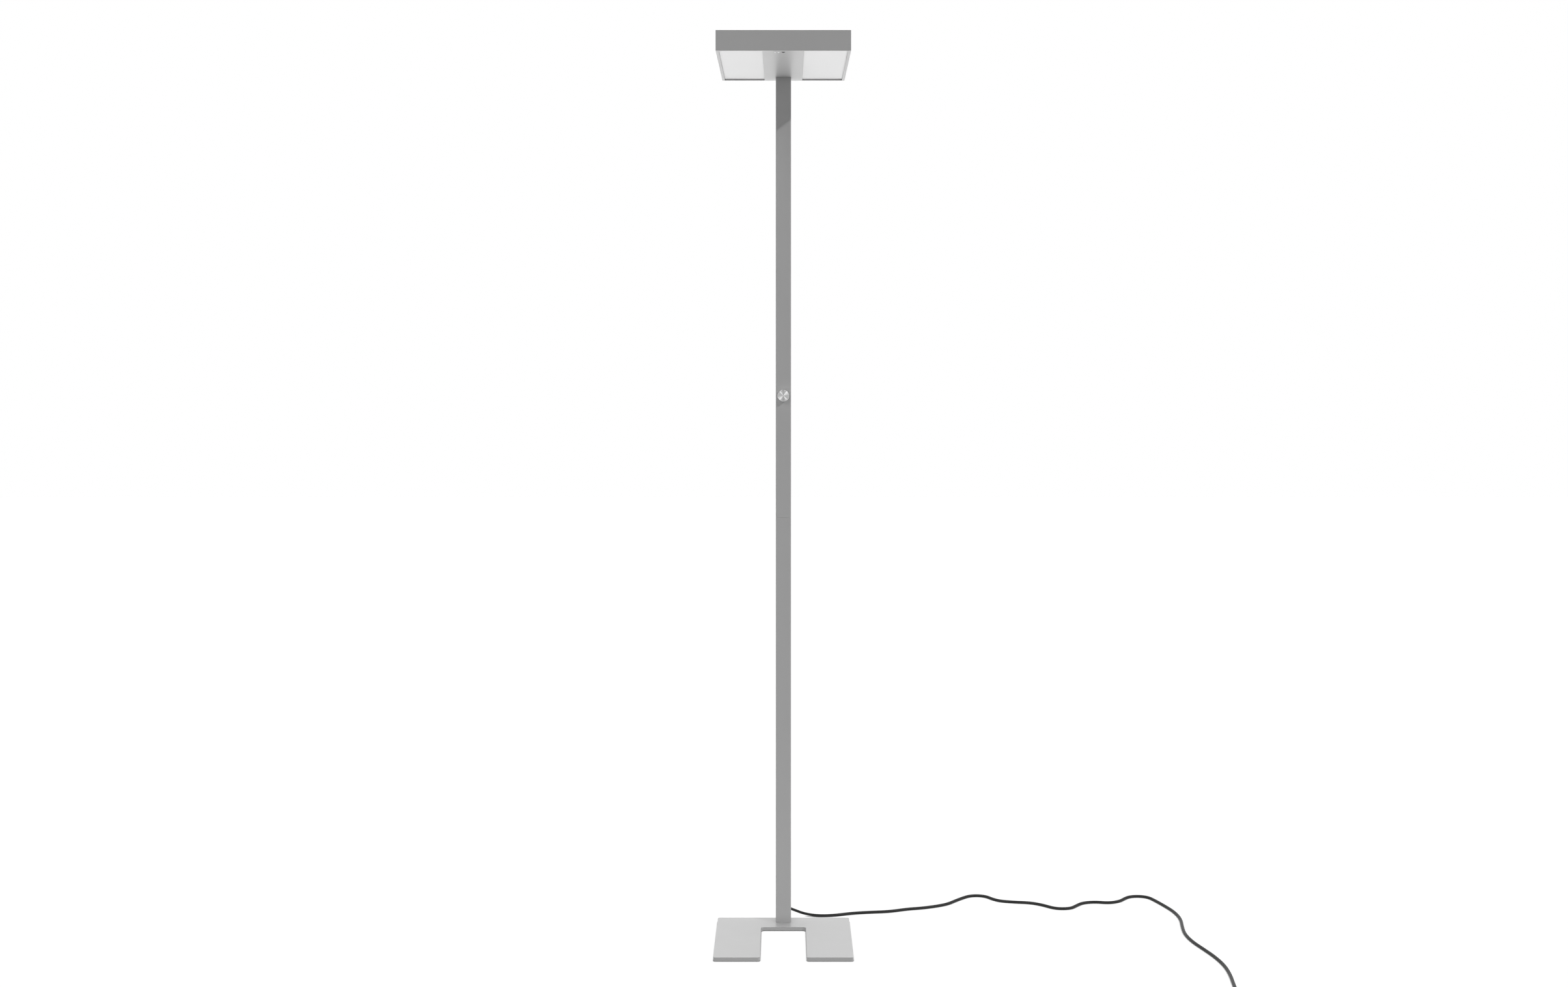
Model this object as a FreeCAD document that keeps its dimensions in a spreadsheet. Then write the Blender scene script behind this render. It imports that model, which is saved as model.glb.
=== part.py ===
"""Office floor lamp: base plate, square pole in two lengths, push-and-turn dimmer knob, flat lamp head, mains lead.

Millimetres. +X points to the right as seen from the front, +Y to the back and +Z up. The origin is on the floor,
under the middle of the lamp head.
"""

import FreeCAD, Part
import math
import os
import re

import Sketcher
from FreeCAD import Placement, Rotation, Vector

# Each driving size: its name, its value and what it measures.
SIZES = {
    # base
    "base_width": (300.0, "base plate, left to right"),
    "base_length": (314.5, "base plate, front to back"),
    "plate_thickness": (8.0, "base plate"),
    "base_behind_pole": (6.0, "base plate behind the pole's back"),
    "base_corner": (4.0, "radius of the base plate's outer corners"),
    "edge_round": (0.6, "rounding of powder-coated edges"),
    "cutout_width": (101.0, "gap between the two prongs of the base"),
    "cutout_setback": (39.0, "from the pole's front to the end of the gap"),
    "cutout_corner": (7.5, "radius of the gap's inner corners"),
    "glide_diameter": (24.0, "floor glide"),
    "glide_thickness": (2.5, "floor glide"),
    "glide_stand": (0.6, "how far a glide stands out under the plate"),
    "glide_inset": (24.0, "glide's centre from the plate's edges"),
    "base_screw_diameter": (6.0, "screws that hold the pole to the plate"),
    "base_screw_head": (10.0, "diameter of their heads"),
    "base_screw_head_height": (4.0, "height of their heads"),
    "base_screw_spacing": (16.0, "square pattern of the four screws"),
    # pole
    "pole_side": (34.5, "square tube, outside"),
    "pole_wall": (2.0, "square tube's wall"),
    "pole_corner": (2.0, "outer corner radius of the tube"),
    "pole_height": (1917.0, "from the base plate to the head's underside"),
    "lower_tube_length": (919.5, "lower tube, up to the seam"),
    "seam_chamfer": (0.4, "outer edges of the two tube ends that meet"),
    "foot_plug_height": (10.0, "threaded end plug welded into the foot"),
    "slip_gap": (0.15, "clearance of parts that slide into the tube"),
    "sleeve_length": (160.0, "joint sleeve inside the two tubes"),
    "sleeve_wall": (2.5, "joint sleeve's wall"),
    "joint_screw_diameter": (5.0, "screws through the back of the pole"),
    "joint_screw_head": (9.5, "diameter of their heads"),
    "joint_screw_head_height": (2.4, "height of their heads"),
    "joint_screw_pitch": (30.0, "between the two screws of each tube"),
    "joint_screw_edge": (20.0, "from the seam to the nearest screw"),
    "screw_gap": (0.25, "radial clearance of a screw in its hole"),
    # lamp head
    "head_width": (280.0, "head, left to right"),
    "head_length": (480.0, "head, front to back"),
    "head_height": (42.5, "head, bottom to top"),
    "head_behind_pole": (27.5, "head behind the pole's back"),
    "head_corner": (2.0, "radius of the frame's upright corners"),
    "head_wall": (3.0, "side wall of the frame"),
    "head_rim": (6.0, "width of the frame's bottom rim"),
    "rim_thickness": (3.0, "rim and spine plate, and so the panels' recess"),
    "spine_width": (86.0, "plate down the middle of the underside"),
    "panel_overlap": (4.0, "panel's edge that lies on the spine plate"),
    "diffuser_thickness": (2.5, "opal panel"),
    "fit_gap": (0.2, "clearance of panels and plates in the frame"),
    "chassis_level": (22.0, "chassis above the head's underside"),
    "chassis_thickness": (2.0, "chassis plate"),
    "board_thickness": (1.6, "light and control boards"),
    "post_side": (12.0, "corner posts"),
    "reflector_wall": (1.2, "white reflector frames"),
    "cover_thickness": (3.0, "clear top cover"),
    "chip_length": (5.0, "light-emitting chip"),
    "chip_width": (3.0, "light-emitting chip"),
    "chip_height": (0.7, "light-emitting chip"),
    # pole bracket in the head
    "bracket_width": (76.0, "bracket, left to right"),
    "bracket_length": (68.0, "bracket, front to back"),
    "spigot_length": (70.0, "bracket's spigot inside the pole"),
    "cable_bore": (22.0, "square way for the leads through the inserts"),
    "bracket_screw_diameter": (5.0, "chassis screws"),
    "bracket_screw_head": (9.0, "diameter of their heads"),
    "bracket_screw_head_height": (3.0, "height of their heads"),
    "bracket_screw_across": (62.0, "chassis screws, left to right"),
    "bracket_screw_along": (54.0, "chassis screws, front to back"),
    # gear in the head
    "driver_width": (34.0, "driver housing"),
    "driver_length": (240.0, "driver housing"),
    "driver_height": (14.5, "driver housing"),
    "driver_ahead": (90.0, "from the pole's front to the driver"),
    "terminal_width": (26.0, "terminal block"),
    "terminal_length": (24.0, "terminal block"),
    "terminal_height": (12.0, "terminal block"),
    "terminal_ahead": (42.0, "from the pole's front to the terminal block"),
    # sensors
    "sensor_width": (44.0, "sensor housing"),
    "sensor_length": (22.0, "sensor housing"),
    "sensor_height": (12.0, "sensor housing"),
    "sensor_setback": (23.0, "sensors behind the head's front"),
    "lens_diameter": (9.0, "daylight sensor's dark lens"),
    "lens_stand": (1.5, "lens below the spine plate"),
    "dot_diameter": (3.6, "each small white lens"),
    "dot_stand": (1.5, "small lenses below the spine plate"),
    "dot_near": (10.3, "nearer small lens left of the middle"),
    "dot_far": (17.3, "further small lens left of the middle"),
    # dimmer knob and its encoder
    "knob_height": (1205.3, "knob's axis above the floor"),
    "knob_diameter": (26.5, "knob"),
    "knob_depth": (10.0, "knob, front to back"),
    "knob_gap": (2.0, "between the knob and the pole"),
    "knob_chamfer": (0.5, "front edge of the knob"),
    "knob_rim": (1.2, "ring round the knob's face"),
    "knob_groove": (0.35, "dark groove between ring and face"),
    "face_thickness": (1.0, "turned face plate"),
    "face_recess": (0.25, "face plate behind the ring"),
    "knob_hollow": (20.0, "diameter of the hollow behind the knob"),
    "push_travel": (1.5, "how far the knob pushes in"),
    "shaft_diameter": (6.0, "encoder's shaft"),
    "running_gap": (0.05, "radial clearance of the shaft and plunger"),
    "bushing_diameter": (8.0, "encoder's threaded bushing"),
    "bushing_stand": (3.5, "bushing in front of the pole"),
    "nut_across": (11.0, "bushing nut across flats"),
    "nut_thickness": (1.8, "bushing nut"),
    "encoder_width": (14.0, "encoder housing, wide and high"),
    "encoder_depth": (7.0, "encoder housing, front to back"),
    "plunger_length": (1.5, "plunger behind the shaft"),
    "rest_gap": (0.2, "between the shaft's end and the plunger"),
    "board_width": (24.0, "control board"),
    "board_height": (44.0, "control board"),
    "ribbon_width": (6.0, "control ribbon lead"),
    "ribbon_thickness": (0.9, "control ribbon lead"),
    "ribbon_offset": (4.8, "ribbon lead right of the middle"),
    # mains lead
    "cord_diameter": (6.0, "mains lead"),
    "exit_height": (27.0, "lead's exit above the floor"),
    "bore_gap": (0.15, "radial clearance of the lead in its gland"),
    "gland_flange": (15.0, "diameter of the gland's flange"),
    "gland_flange_thickness": (2.5, "gland's flange"),
    "gland_neck": (11.0, "diameter of the neck in the pole's wall"),
    "gland_lock": (1.8, "lock ring inside the wall"),
    "relief_length": (20.0, "tapered strain relief"),
    "relief_root": (10.4, "strain relief's diameter at the flange"),
    "relief_tip": (8.2, "strain relief's diameter at its tip"),
    "turn_pitch": (6.6, "from one turn of the coil to the next"),
    "coil_radius": (41.0, "coil's outer turn, to the lead's middle"),
    "tie_thickness": (1.0, "tie round the coil"),
    "tie_width": (12.0, "tie round the coil"),
    "tie_gap": (0.5, "between the coil and its tie"),
    "plug_diameter": (37.0, "plug's face"),
    "plug_length": (56.0, "plug with its tapered tail"),
    "plug_tail": (9.0, "diameter of the tail where the lead goes in"),
    "pin_diameter": (4.8, "plug's pins"),
    "pin_length": (19.0, "plug's pins"),
    "pin_spacing": (19.0, "between the plug's pins"),
    "clip_width": (6.0, "plug's earth strips"),
    "clip_thickness": (0.8, "plug's earth strips"),
    "clip_length": (14.0, "plug's earth strips"),
}

# Places that several pieces share.
PLATE_TOP = "(glide_stand + plate_thickness)"
UNDERSIDE = "(glide_stand + plate_thickness + pole_height)"
POLE_BACK = "(head_length / 2 - head_behind_pole)"
POLE_FRONT = "(head_length / 2 - head_behind_pole - pole_side)"
POLE_MIDDLE = "(head_length / 2 - head_behind_pole - pole_side / 2)"
SEAM = "(glide_stand + plate_thickness + lower_tube_length)"
PLATE_BACK = f"({POLE_BACK} + base_behind_pole)"
PLATE_FRONT = f"({PLATE_BACK} - base_length)"
INSERT_SIDE = "(pole_side - 2 * pole_wall - 2 * slip_gap)"
CHASSIS = f"({UNDERSIDE} + chassis_level)"
CHASSIS_TOP = f"({CHASSIS} + chassis_thickness)"
COVER = f"({UNDERSIDE} + head_height - cover_thickness)"
ENCODER_BACK = f"({POLE_FRONT} + pole_wall + encoder_depth)"

# The free mains lead's route: out of the gland, down to the floor and along it, to where the coil begins.
LEAD_ROUTE = [
    (0, 232.5, 27), (0.3, 244, 26.8), (4, 256, 24.2), (13, 264.5, 18.5), (28, 267, 12), (45, 263.5, 6.6),
    (65, 258.5, 3.8), (89, 255, 3), (120, 260, 3), (157, 277, 3), (200, 286, 3), (247, 292, 3), (287, 313, 3),
    (323, 322, 3), (358, 338, 3), (387, 358, 3), (407, 387, 3), (425, 410, 3), (443, 430, 3), (465.5, 434.8, 3),
    (486, 424.7, 3), (497, 403, 3), (514, 384, 3), (545, 375, 3), (584, 369, 3), (611, 349, 3), (632, 322, 3),
    (653, 315.5, 3), (674, 322, 3), (687, 342, 3), (706, 368, 3), (737, 377, 3), (769, 367, 3), (796, 382, 3),
    (810, 404, 3), (823, 421, 3), (840, 428, 3), (858.4, 426, 3), (873, 414.5, 3), (883, 386, 3), (896, 342, 3),
    (909, 290, 3), (913, 230, 3), (904, 168, 3), (898, 106, 3), (903, 45, 3), (917, -14, 3), (930, -74, 3),
    (937, -137, 3), (935, -200, 3), (928, -262, 3), (923, -318, 3), (920.5, -354, 3.3),
]
TURNS = 5.25  # turns of the coil that puts the rest of the lead away
COIL_START = (920.5, -412.0)  # where the first turn begins, heading to the front
TAIL_STEP = 15.0  # between the points of the short tail from the coil to the plug

UPRIGHT = Rotation()
BACKWARDS = Rotation(Vector(1, 0, 0), -90)  # a Z axis turned to point to the back
LEFTWARDS = Rotation(Vector(0, 1, 0), -90)  # a Z axis turned to point left

document = FreeCAD.newDocument("office_floor_lamp")
sheet = document.addObject("Spreadsheet::Sheet", "Sizes")
for row, (alias, (amount, meaning)) in enumerate(SIZES.items(), start=1):
    sheet.set(f"A{row}", alias)
    sheet.set(f"B{row}", str(amount))
    sheet.set(f"C{row}", meaning)
    sheet.setAlias(f"B{row}", alias)
document.recompute()

ALIAS = re.compile(r"\b(" + "|".join(sorted(SIZES, key=len, reverse=True)) + r")\b")
nodes = []  # the finished pieces, in the order they are made


def formula(text):
    """The expression for a text that uses bare size names."""
    return ALIAS.sub(r"Sizes.\1", str(text))


def bind(thing, prop, text):
    """Ties a property to a formula of the sheet's sizes."""
    thing.setExpression(prop, formula(text))


def value(text):
    """What a formula gives now."""
    return float(sheet.evalExpression(formula(text)))


def node(thing, label):
    """Names a finished piece and keeps it for the hand-in."""
    thing.Label = label
    nodes.append(thing)
    return thing


# ---------------------------------------------------------------- sketches and features


def new_body(name, place=("0", "0", "0"), turn=UPRIGHT):
    """A body whose own origin lies at three formulas."""
    body = document.addObject("PartDesign::Body", name)
    body.Placement = Placement(Vector(), turn)
    for axis, text in zip("xyz", place):
        bind(body, f"Placement.Base.{axis}", text)
    return body


def new_sketch(body, role="XY_Plane", level="0"):
    """A sketch on one of the body's origin planes, raised by a formula along its normal."""
    sketch = body.newObject("Sketcher::SketchObject", f"{body.Name}_sketch")
    plane = next(f for f in body.Origin.OriginFeatures if f.Role == role)
    sketch.AttachmentSupport = [(plane, "")]
    sketch.MapMode = "FlatFace"
    bind(sketch, "AttachmentOffset.Base.z", level)
    return sketch


def hold(sketch, kind, item, end, text):
    """Keeps one point of a sketch at a formula's distance from the sketch's origin, along X or along Y."""
    distance = value(text)
    if abs(distance) < 1e-9:
        axis = -2 if kind == "DistanceX" else -1
        sketch.addConstraint(Sketcher.Constraint("PointOnObject", item, end, axis))
        return
    ends = (-1, 1, item, end) if distance > 0 else (item, end, -1, 1)
    index = sketch.addConstraint(Sketcher.Constraint(kind, *ends, abs(distance)))
    bind(sketch, f"Constraints[{index}]", text if distance > 0 else f"-({text})")


def outline(sketch, corners):
    """A closed outline of straight lines whose corners lie at pairs of formulas."""
    points = [Vector(value(x), value(y), 0) for x, y in corners]
    first, count = sketch.GeometryCount, len(points)
    for n in range(count):
        sketch.addGeometry(Part.LineSegment(points[n], points[(n + 1) % count]))
    for n in range(count):
        sketch.addConstraint(Sketcher.Constraint("Coincident", first + n, 2, first + (n + 1) % count, 1))
    for n, (x, y) in enumerate(corners):
        hold(sketch, "DistanceX", first + n, 1, x)
        hold(sketch, "DistanceY", first + n, 1, y)


def rectangle(sketch, width, length, x="0", y="0"):
    """A rectangle with its middle at x and y."""
    left, right = f"{x} - {width} / 2", f"{x} + {width} / 2"
    near, far = f"{y} - {length} / 2", f"{y} + {length} / 2"
    outline(sketch, [(left, near), (right, near), (right, far), (left, far)])


def circle(sketch, x, y, diameter):
    """A circle with its centre at x and y."""
    centre = Vector(value(x), value(y), 0)
    item = sketch.addGeometry(Part.Circle(centre, Vector(0, 0, 1), value(diameter) / 2))
    index = sketch.addConstraint(Sketcher.Constraint("Diameter", item, value(diameter)))
    bind(sketch, f"Constraints[{index}]", diameter)
    hold(sketch, "DistanceX", item, 3, x)
    hold(sketch, "DistanceY", item, 3, y)


def pad(body, sketch, height):
    """Material on a sketch, upwards."""
    feature = body.newObject("PartDesign::Pad", f"{body.Name}_pad")
    feature.Profile = sketch
    bind(feature, "Length", height)
    document.recompute()
    return feature


def pocket(body, sketch, depth):
    """A cut that goes upwards from its sketch; it has to take material away."""
    before = body.Shape.Volume
    feature = body.newObject("PartDesign::Pocket", f"{body.Name}_pocket")
    feature.Profile = sketch
    feature.Reversed = True
    bind(feature, "Length", depth)
    document.recompute()
    if body.Shape.Volume > before - 0.01:
        raise RuntimeError(f"{feature.Name} cuts nothing")
    return feature


def revolve(body, corners):
    """A turned form: corners are (radius, distance along the body's Z axis)."""
    sketch = new_sketch(body, "XZ_Plane")
    outline(sketch, corners)
    feature = body.newObject("PartDesign::Revolution", f"{body.Name}_turned")
    feature.Profile = sketch
    feature.ReferenceAxis = (sketch, ["V_Axis"])
    feature.Angle = 360
    document.recompute()
    return feature


def round_edges(body, chosen, radius, kind="Fillet"):
    """Fillets or chamfers the edges of the body's last form that chosen() accepts."""
    tip = body.Tip
    names = [f"Edge{n}" for n, edge in enumerate(tip.Shape.Edges, start=1) if chosen(edge)]
    if not names:
        raise RuntimeError(f"{body.Name} has no such edge")
    feature = body.newObject(f"PartDesign::{kind}", f"{body.Name}_{kind.lower()}")
    feature.Base = (tip, names)
    bind(feature, "Radius" if kind == "Fillet" else "Size", radius)
    document.recompute()
    return feature


def upright_at(corners):
    """Tells whether an edge is upright and stands at one of the corners, given as formulas in the body's frame."""
    places = [(value(x), value(y)) for x, y in corners]

    def chosen(edge):
        low, high = edge.BoundBox.ZMin, edge.BoundBox.ZMax
        middle = edge.BoundBox.Center
        straight = edge.BoundBox.XLength < 1e-4 and edge.BoundBox.YLength < 1e-4
        near = any(abs(middle.x - x) < 1e-3 and abs(middle.y - y) < 1e-3 for x, y in places)
        return straight and near and high - low > 1e-3

    return chosen


def level_at(height):
    """Tells whether an edge lies flat at a height of the body's frame."""
    level = value(height)
    return lambda edge: abs(edge.BoundBox.ZMin - level) < 1e-4 and abs(edge.BoundBox.ZMax - level) < 1e-4


# ---------------------------------------------------------------- primitives and groups


def box(name, low, size):
    """A block with its low corner and its size as formulas."""
    block = document.addObject("Part::Box", name)
    for prop, text in zip(("Length", "Width", "Height"), size):
        bind(block, prop, text)
    for axis, text in zip("xyz", low):
        bind(block, f"Placement.Base.{axis}", text)
    return block


def rod(name, radius, length, start, turn=UPRIGHT):
    """A cylinder that starts at three formulas and runs along its turned Z axis."""
    cylinder = document.addObject("Part::Cylinder", name)
    cylinder.Placement = Placement(Vector(), turn)
    bind(cylinder, "Radius", radius)
    bind(cylinder, "Height", length)
    for axis, text in zip("xyz", start):
        bind(cylinder, f"Placement.Base.{axis}", text)
    return cylinder


def joined(name, pieces):
    """One solid made of touching pieces."""
    fusion = document.addObject("Part::MultiFuse", name)
    fusion.Shapes = pieces
    return fusion


def without(name, base, tools):
    """A piece with the tools cut out of it."""
    result = document.addObject("Part::Cut", name)
    result.Base = base
    result.Tool = tools[0] if len(tools) == 1 else joined(f"{name}_cuts", tools)
    return result


def group(name, pieces):
    """Like pieces that share one node."""
    compound = document.addObject("Part::Compound", name)
    compound.Links = pieces
    return compound


def screw(name, place, shank, head, length, turn):
    """A screw from its head's outer face inwards: head is (diameter, height)."""
    top = rod(f"{name}_head", f"{head[0]} / 2", head[1], place, turn)
    stem = rod(f"{name}_stem", f"{shank} / 2", f"{head[1]} + {length}", place, turn)
    return joined(name, [top, stem])


# ---------------------------------------------------------------- base


def base_screw_places():
    """The four screws under the pole, as pairs of formulas."""
    return [
        (f"{side} * base_screw_spacing / 2", f"{POLE_MIDDLE} + {end} * base_screw_spacing / 2")
        for side in (-1, 1)
        for end in (-1, 1)
    ]


def glide_places():
    """The four glides under the base plate, as pairs of formulas."""
    return [
        (f"{side} * (base_width / 2 - glide_inset)", y)
        for side in (-1, 1)
        for y in (f"{PLATE_FRONT} + glide_inset", f"{PLATE_BACK} - glide_inset")
    ]


def make_base_plate():
    """A steel plate like a wide U, open to the front, on a glide near each corner."""
    half, gap = "base_width / 2", "cutout_width / 2"
    gap_end = f"({POLE_FRONT} - cutout_setback)"
    body = new_body("plate", ("0", "0", "glide_stand"))
    sketch = new_sketch(body)
    outer = [(f"-{half}", PLATE_FRONT), (half, PLATE_FRONT), (half, PLATE_BACK), (f"-{half}", PLATE_BACK)]
    mouth = [(f"-{gap}", PLATE_FRONT), (gap, PLATE_FRONT)]
    inner = [(f"-{gap}", gap_end), (gap, gap_end)]
    outline(sketch, [outer[0], mouth[0], inner[0], inner[1], mouth[1], outer[1], outer[2], outer[3]])
    pad(body, sketch, "plate_thickness")
    round_edges(body, upright_at(outer + mouth), "base_corner")
    round_edges(body, upright_at(inner), "cutout_corner")
    round_edges(body, level_at("plate_thickness"), "edge_round")
    recess = new_sketch(body)
    for x, y in glide_places():
        circle(recess, x, y, "glide_diameter + 2 * fit_gap")
    pocket(body, recess, "glide_thickness - glide_stand")
    heads = new_sketch(body)
    shanks = new_sketch(body)
    for x, y in base_screw_places():
        circle(heads, x, y, "base_screw_head + 2 * screw_gap")
        circle(shanks, x, y, "base_screw_diameter + 2 * screw_gap")
    pocket(body, heads, "base_screw_head_height")
    pocket(body, shanks, "plate_thickness")
    return node(body, "base_plate")


def make_floor_glides():
    """Round rubber glides, each seated in its recess."""
    discs = [
        rod(f"glide_{n}", "glide_diameter / 2", "glide_thickness", (x, y, "0"))
        for n, (x, y) in enumerate(glide_places(), start=1)
    ]
    return node(group("glides", discs), "floor_glides")


def make_base_screws():
    """Screws from below, through the plate and into the pole's foot plug."""
    reach = "plate_thickness - base_screw_head_height + 0.8 * foot_plug_height"
    screws = [
        screw(
            f"base_screw_{n}",
            (x, y, "glide_stand"),
            "base_screw_diameter",
            ("base_screw_head", "base_screw_head_height"),
            reach,
            UPRIGHT,
        )
        for n, (x, y) in enumerate(base_screw_places(), start=1)
    ]
    return node(group("screws_in_base", screws), "base_screws")


# ---------------------------------------------------------------- pole


def make_square_tube(name, low, length, side, wall, corner=None, eased=None):
    """A square tube round the pole's axis, from a low end upwards; eased is the level of an end that is chamfered."""
    body = new_body(name, ("0", POLE_MIDDLE, low))
    sketch = new_sketch(body)
    rectangle(sketch, side, side)
    pad(body, sketch, length)
    if corner:
        half = f"{side} / 2"
        corners = [(f"{a} * {half}", f"{b} * {half}") for a in (-1, 1) for b in (-1, 1)]
        round_edges(body, upright_at(corners), corner)
    if eased:
        round_edges(body, level_at(eased), "seam_chamfer", "Chamfer")
    hollow = new_sketch(body)
    rectangle(hollow, f"({side} - 2 * {wall})", f"({side} - 2 * {wall})")
    pocket(body, hollow, length)
    return body


def joint_screw_heights():
    """The four screws behind the seam: two in each tube."""
    near, far = "joint_screw_edge", "(joint_screw_edge + joint_screw_pitch)"
    return [f"({SEAM} - {far})", f"({SEAM} - {near})", f"({SEAM} + {near})", f"({SEAM} + {far})"]


def bracket_clamp_heights():
    """The two screws that hold the pole's top to the head bracket's spigot."""
    return [f"({UNDERSIDE} - joint_screw_edge)", f"({UNDERSIDE} - joint_screw_edge - joint_screw_pitch)"]


def back_holes(name, heights, diameter):
    """Holes through the pole's back wall and the insert behind it."""
    depth = "(pole_wall + sleeve_wall + 2 * slip_gap)"
    start = f"{POLE_BACK} - {depth}"
    return [
        rod(f"{name}_{n}", f"({diameter}) / 2", f"{depth} + 1", ("0", start, height), BACKWARDS)
        for n, height in enumerate(heights, start=1)
    ]


def back_screws(name, heights):
    """Button-head screws in the pole's back, each through its wall and its insert."""
    inward = Rotation(Vector(1, 0, 0), 90)
    return [
        screw(
            f"{name}_{n}",
            ("0", f"{POLE_BACK} + joint_screw_head_height", height),
            "joint_screw_diameter",
            ("joint_screw_head", "joint_screw_head_height"),
            "pole_wall + sleeve_wall",
            inward,
        )
        for n, height in enumerate(heights, start=1)
    ]


def make_foot_plug():
    """A threaded plug in the foot of the lower tube."""
    body = new_body("plug_in_foot", ("0", POLE_MIDDLE, PLATE_TOP))
    sketch = new_sketch(body)
    rectangle(sketch, INSERT_SIDE, INSERT_SIDE)
    pad(body, sketch, "foot_plug_height")
    holes = new_sketch(body)
    for side in (-1, 1):
        for end in (-1, 1):
            x, y = f"{side} * base_screw_spacing / 2", f"{end} * base_screw_spacing / 2"
            circle(holes, x, y, "base_screw_diameter + 2 * running_gap")
    pocket(body, holes, "foot_plug_height")
    return node(body, "foot_plug")


def make_lower_tube():
    """The lower tube, with a hole for the gland and two for the joint screws."""
    length = "lower_tube_length"
    tube = make_square_tube("lower_stock", PLATE_TOP, length, "pole_side", "pole_wall", "pole_corner", length)
    depth = "(pole_wall + 2)"
    gland = rod(
        "gland_hole",
        "gland_neck / 2 + bore_gap",
        depth,
        ("0", f"{POLE_BACK} - pole_wall - 1", "exit_height"),
        BACKWARDS,
    )
    holes = back_holes("lower_hole", joint_screw_heights()[:2], "joint_screw_diameter + 2 * screw_gap")
    return node(without("lower_cut", tube, [gland, *holes]), "lower_pole_tube")


def make_upper_tube():
    """The upper tube, which ends inside the head, against the bracket."""
    length = "(pole_height - lower_tube_length + rim_thickness)"
    tube = make_square_tube("upper_stock", SEAM, length, "pole_side", "pole_wall", "pole_corner", "0")
    bushing = rod(
        "bushing_hole",
        "bushing_diameter / 2 + bore_gap",
        "pole_wall + 2",
        ("0", f"{POLE_FRONT} - 1", "knob_height"),
        BACKWARDS,
    )
    heights = joint_screw_heights()[2:] + bracket_clamp_heights()
    holes = back_holes("upper_hole", heights, "joint_screw_diameter + 2 * screw_gap")
    return node(without("upper_cut", tube, [bushing, *holes]), "upper_pole_tube")


def make_joint_sleeve():
    """The sleeve inside both tubes, across the seam."""
    low = f"{SEAM} - sleeve_length / 2"
    sleeve = make_square_tube("sleeve_stock", low, "sleeve_length", INSERT_SIDE, "sleeve_wall")
    holes = back_holes("sleeve_hole", joint_screw_heights(), "joint_screw_diameter + 2 * running_gap")
    return node(without("sleeve_cut", sleeve, holes), "joint_sleeve")


def make_joint_screws():
    """The four screws behind the seam."""
    return node(group("screws_in_joint", back_screws("joint_screw", joint_screw_heights())), "joint_screws")


# ---------------------------------------------------------------- dimmer knob and encoder


def make_encoder_housing():
    """The encoder behind the pole's front wall, with its bushing through the wall and a bore right through."""
    half = "encoder_width / 2"
    inner_face = f"({POLE_FRONT} + pole_wall)"
    case = box(
        "encoder_case",
        (f"-{half}", inner_face, f"knob_height - {half}"),
        ("encoder_width", "encoder_depth", "encoder_width"),
    )
    front = f"({POLE_FRONT} - bushing_stand)"
    length = "bushing_stand + pole_wall + encoder_depth"
    bushing = rod("bushing", "bushing_diameter / 2", length, ("0", front, "knob_height"), BACKWARDS)
    bore = rod(
        "bore",
        "shaft_diameter / 2 + running_gap",
        f"{length} + 2",
        ("0", f"{front} - 1", "knob_height"),
        BACKWARDS,
    )
    solid = joined("encoder_solid", [case, bushing])
    return node(without("encoder_cut", solid, [bore]), "encoder_housing")


def make_encoder_nut():
    """The flat nut that holds the encoder's bushing to the pole's front."""
    body = new_body("nut", ("0", f"{POLE_FRONT} - nut_thickness", "knob_height"), BACKWARDS)
    sketch = new_sketch(body)
    apothem, half_side = "nut_across / 2", "nut_across / 2 * tan(30)"
    corner = "nut_across / 2 / cos(30)"
    hexagon = [
        (apothem, f"-{half_side}"),
        (apothem, half_side),
        ("0", corner),
        (f"-{apothem}", half_side),
        (f"-{apothem}", f"-{half_side}"),
        ("0", f"-{corner}"),
    ]
    outline(sketch, hexagon)
    pad(body, sketch, "nut_thickness")
    hole = new_sketch(body)
    circle(hole, "0", "0", "bushing_diameter + 2 * running_gap")
    pocket(body, hole, "nut_thickness")
    return node(body, "encoder_nut")


def make_encoder_board():
    """The control board on the encoder's back."""
    low = ("-board_width / 2", ENCODER_BACK, "knob_height - board_height / 2")
    return node(box("board", low, ("board_width", "board_thickness", "board_height")), "encoder_board")


SHAFT_FRONT = f"({POLE_FRONT} - knob_gap - knob_depth + face_recess + face_thickness)"
SHAFT_BACK = f"({ENCODER_BACK} - push_travel - plunger_length - rest_gap - 0.8)"


def make_encoder_shaft():
    """The round shaft from the knob to the plunger."""
    length = f"{SHAFT_BACK} - {SHAFT_FRONT}"
    start = ("0", SHAFT_FRONT, "knob_height")
    return node(rod("shaft", "shaft_diameter / 2", length, start, BACKWARDS), "encoder_shaft")


def make_switch_plunger():
    """The disc behind the shaft that the knob pushes against the switch."""
    start = ("0", f"{SHAFT_BACK} + rest_gap", "knob_height")
    return node(rod("plunger", "shaft_diameter / 2", "plunger_length", start, BACKWARDS), "switch_plunger")


def make_knob_body():
    """The turned knob: a ring round its face, a hub on the shaft and a hollow over the nut."""
    front = f"({POLE_FRONT} - knob_gap - knob_depth)"
    body = new_body("knob", ("0", front, "knob_height"), BACKWARDS)
    outer, hollow, shaft = "knob_diameter / 2", "knob_hollow / 2", "shaft_diameter / 2"
    seat = "(face_recess + face_thickness)"
    inner = f"({outer} - knob_rim)"
    hub_end = "(knob_depth + knob_gap - bushing_stand - push_travel - 0.5)"
    revolve(
        body,
        [
            (shaft, seat),
            (inner, seat),
            (inner, "0"),
            (f"{outer} - knob_chamfer", "0"),
            (outer, "knob_chamfer"),
            (outer, "knob_depth"),
            (hollow, "knob_depth"),
            (hollow, hub_end),
            (shaft, hub_end),
        ],
    )
    return node(body, "knob_body")


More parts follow.
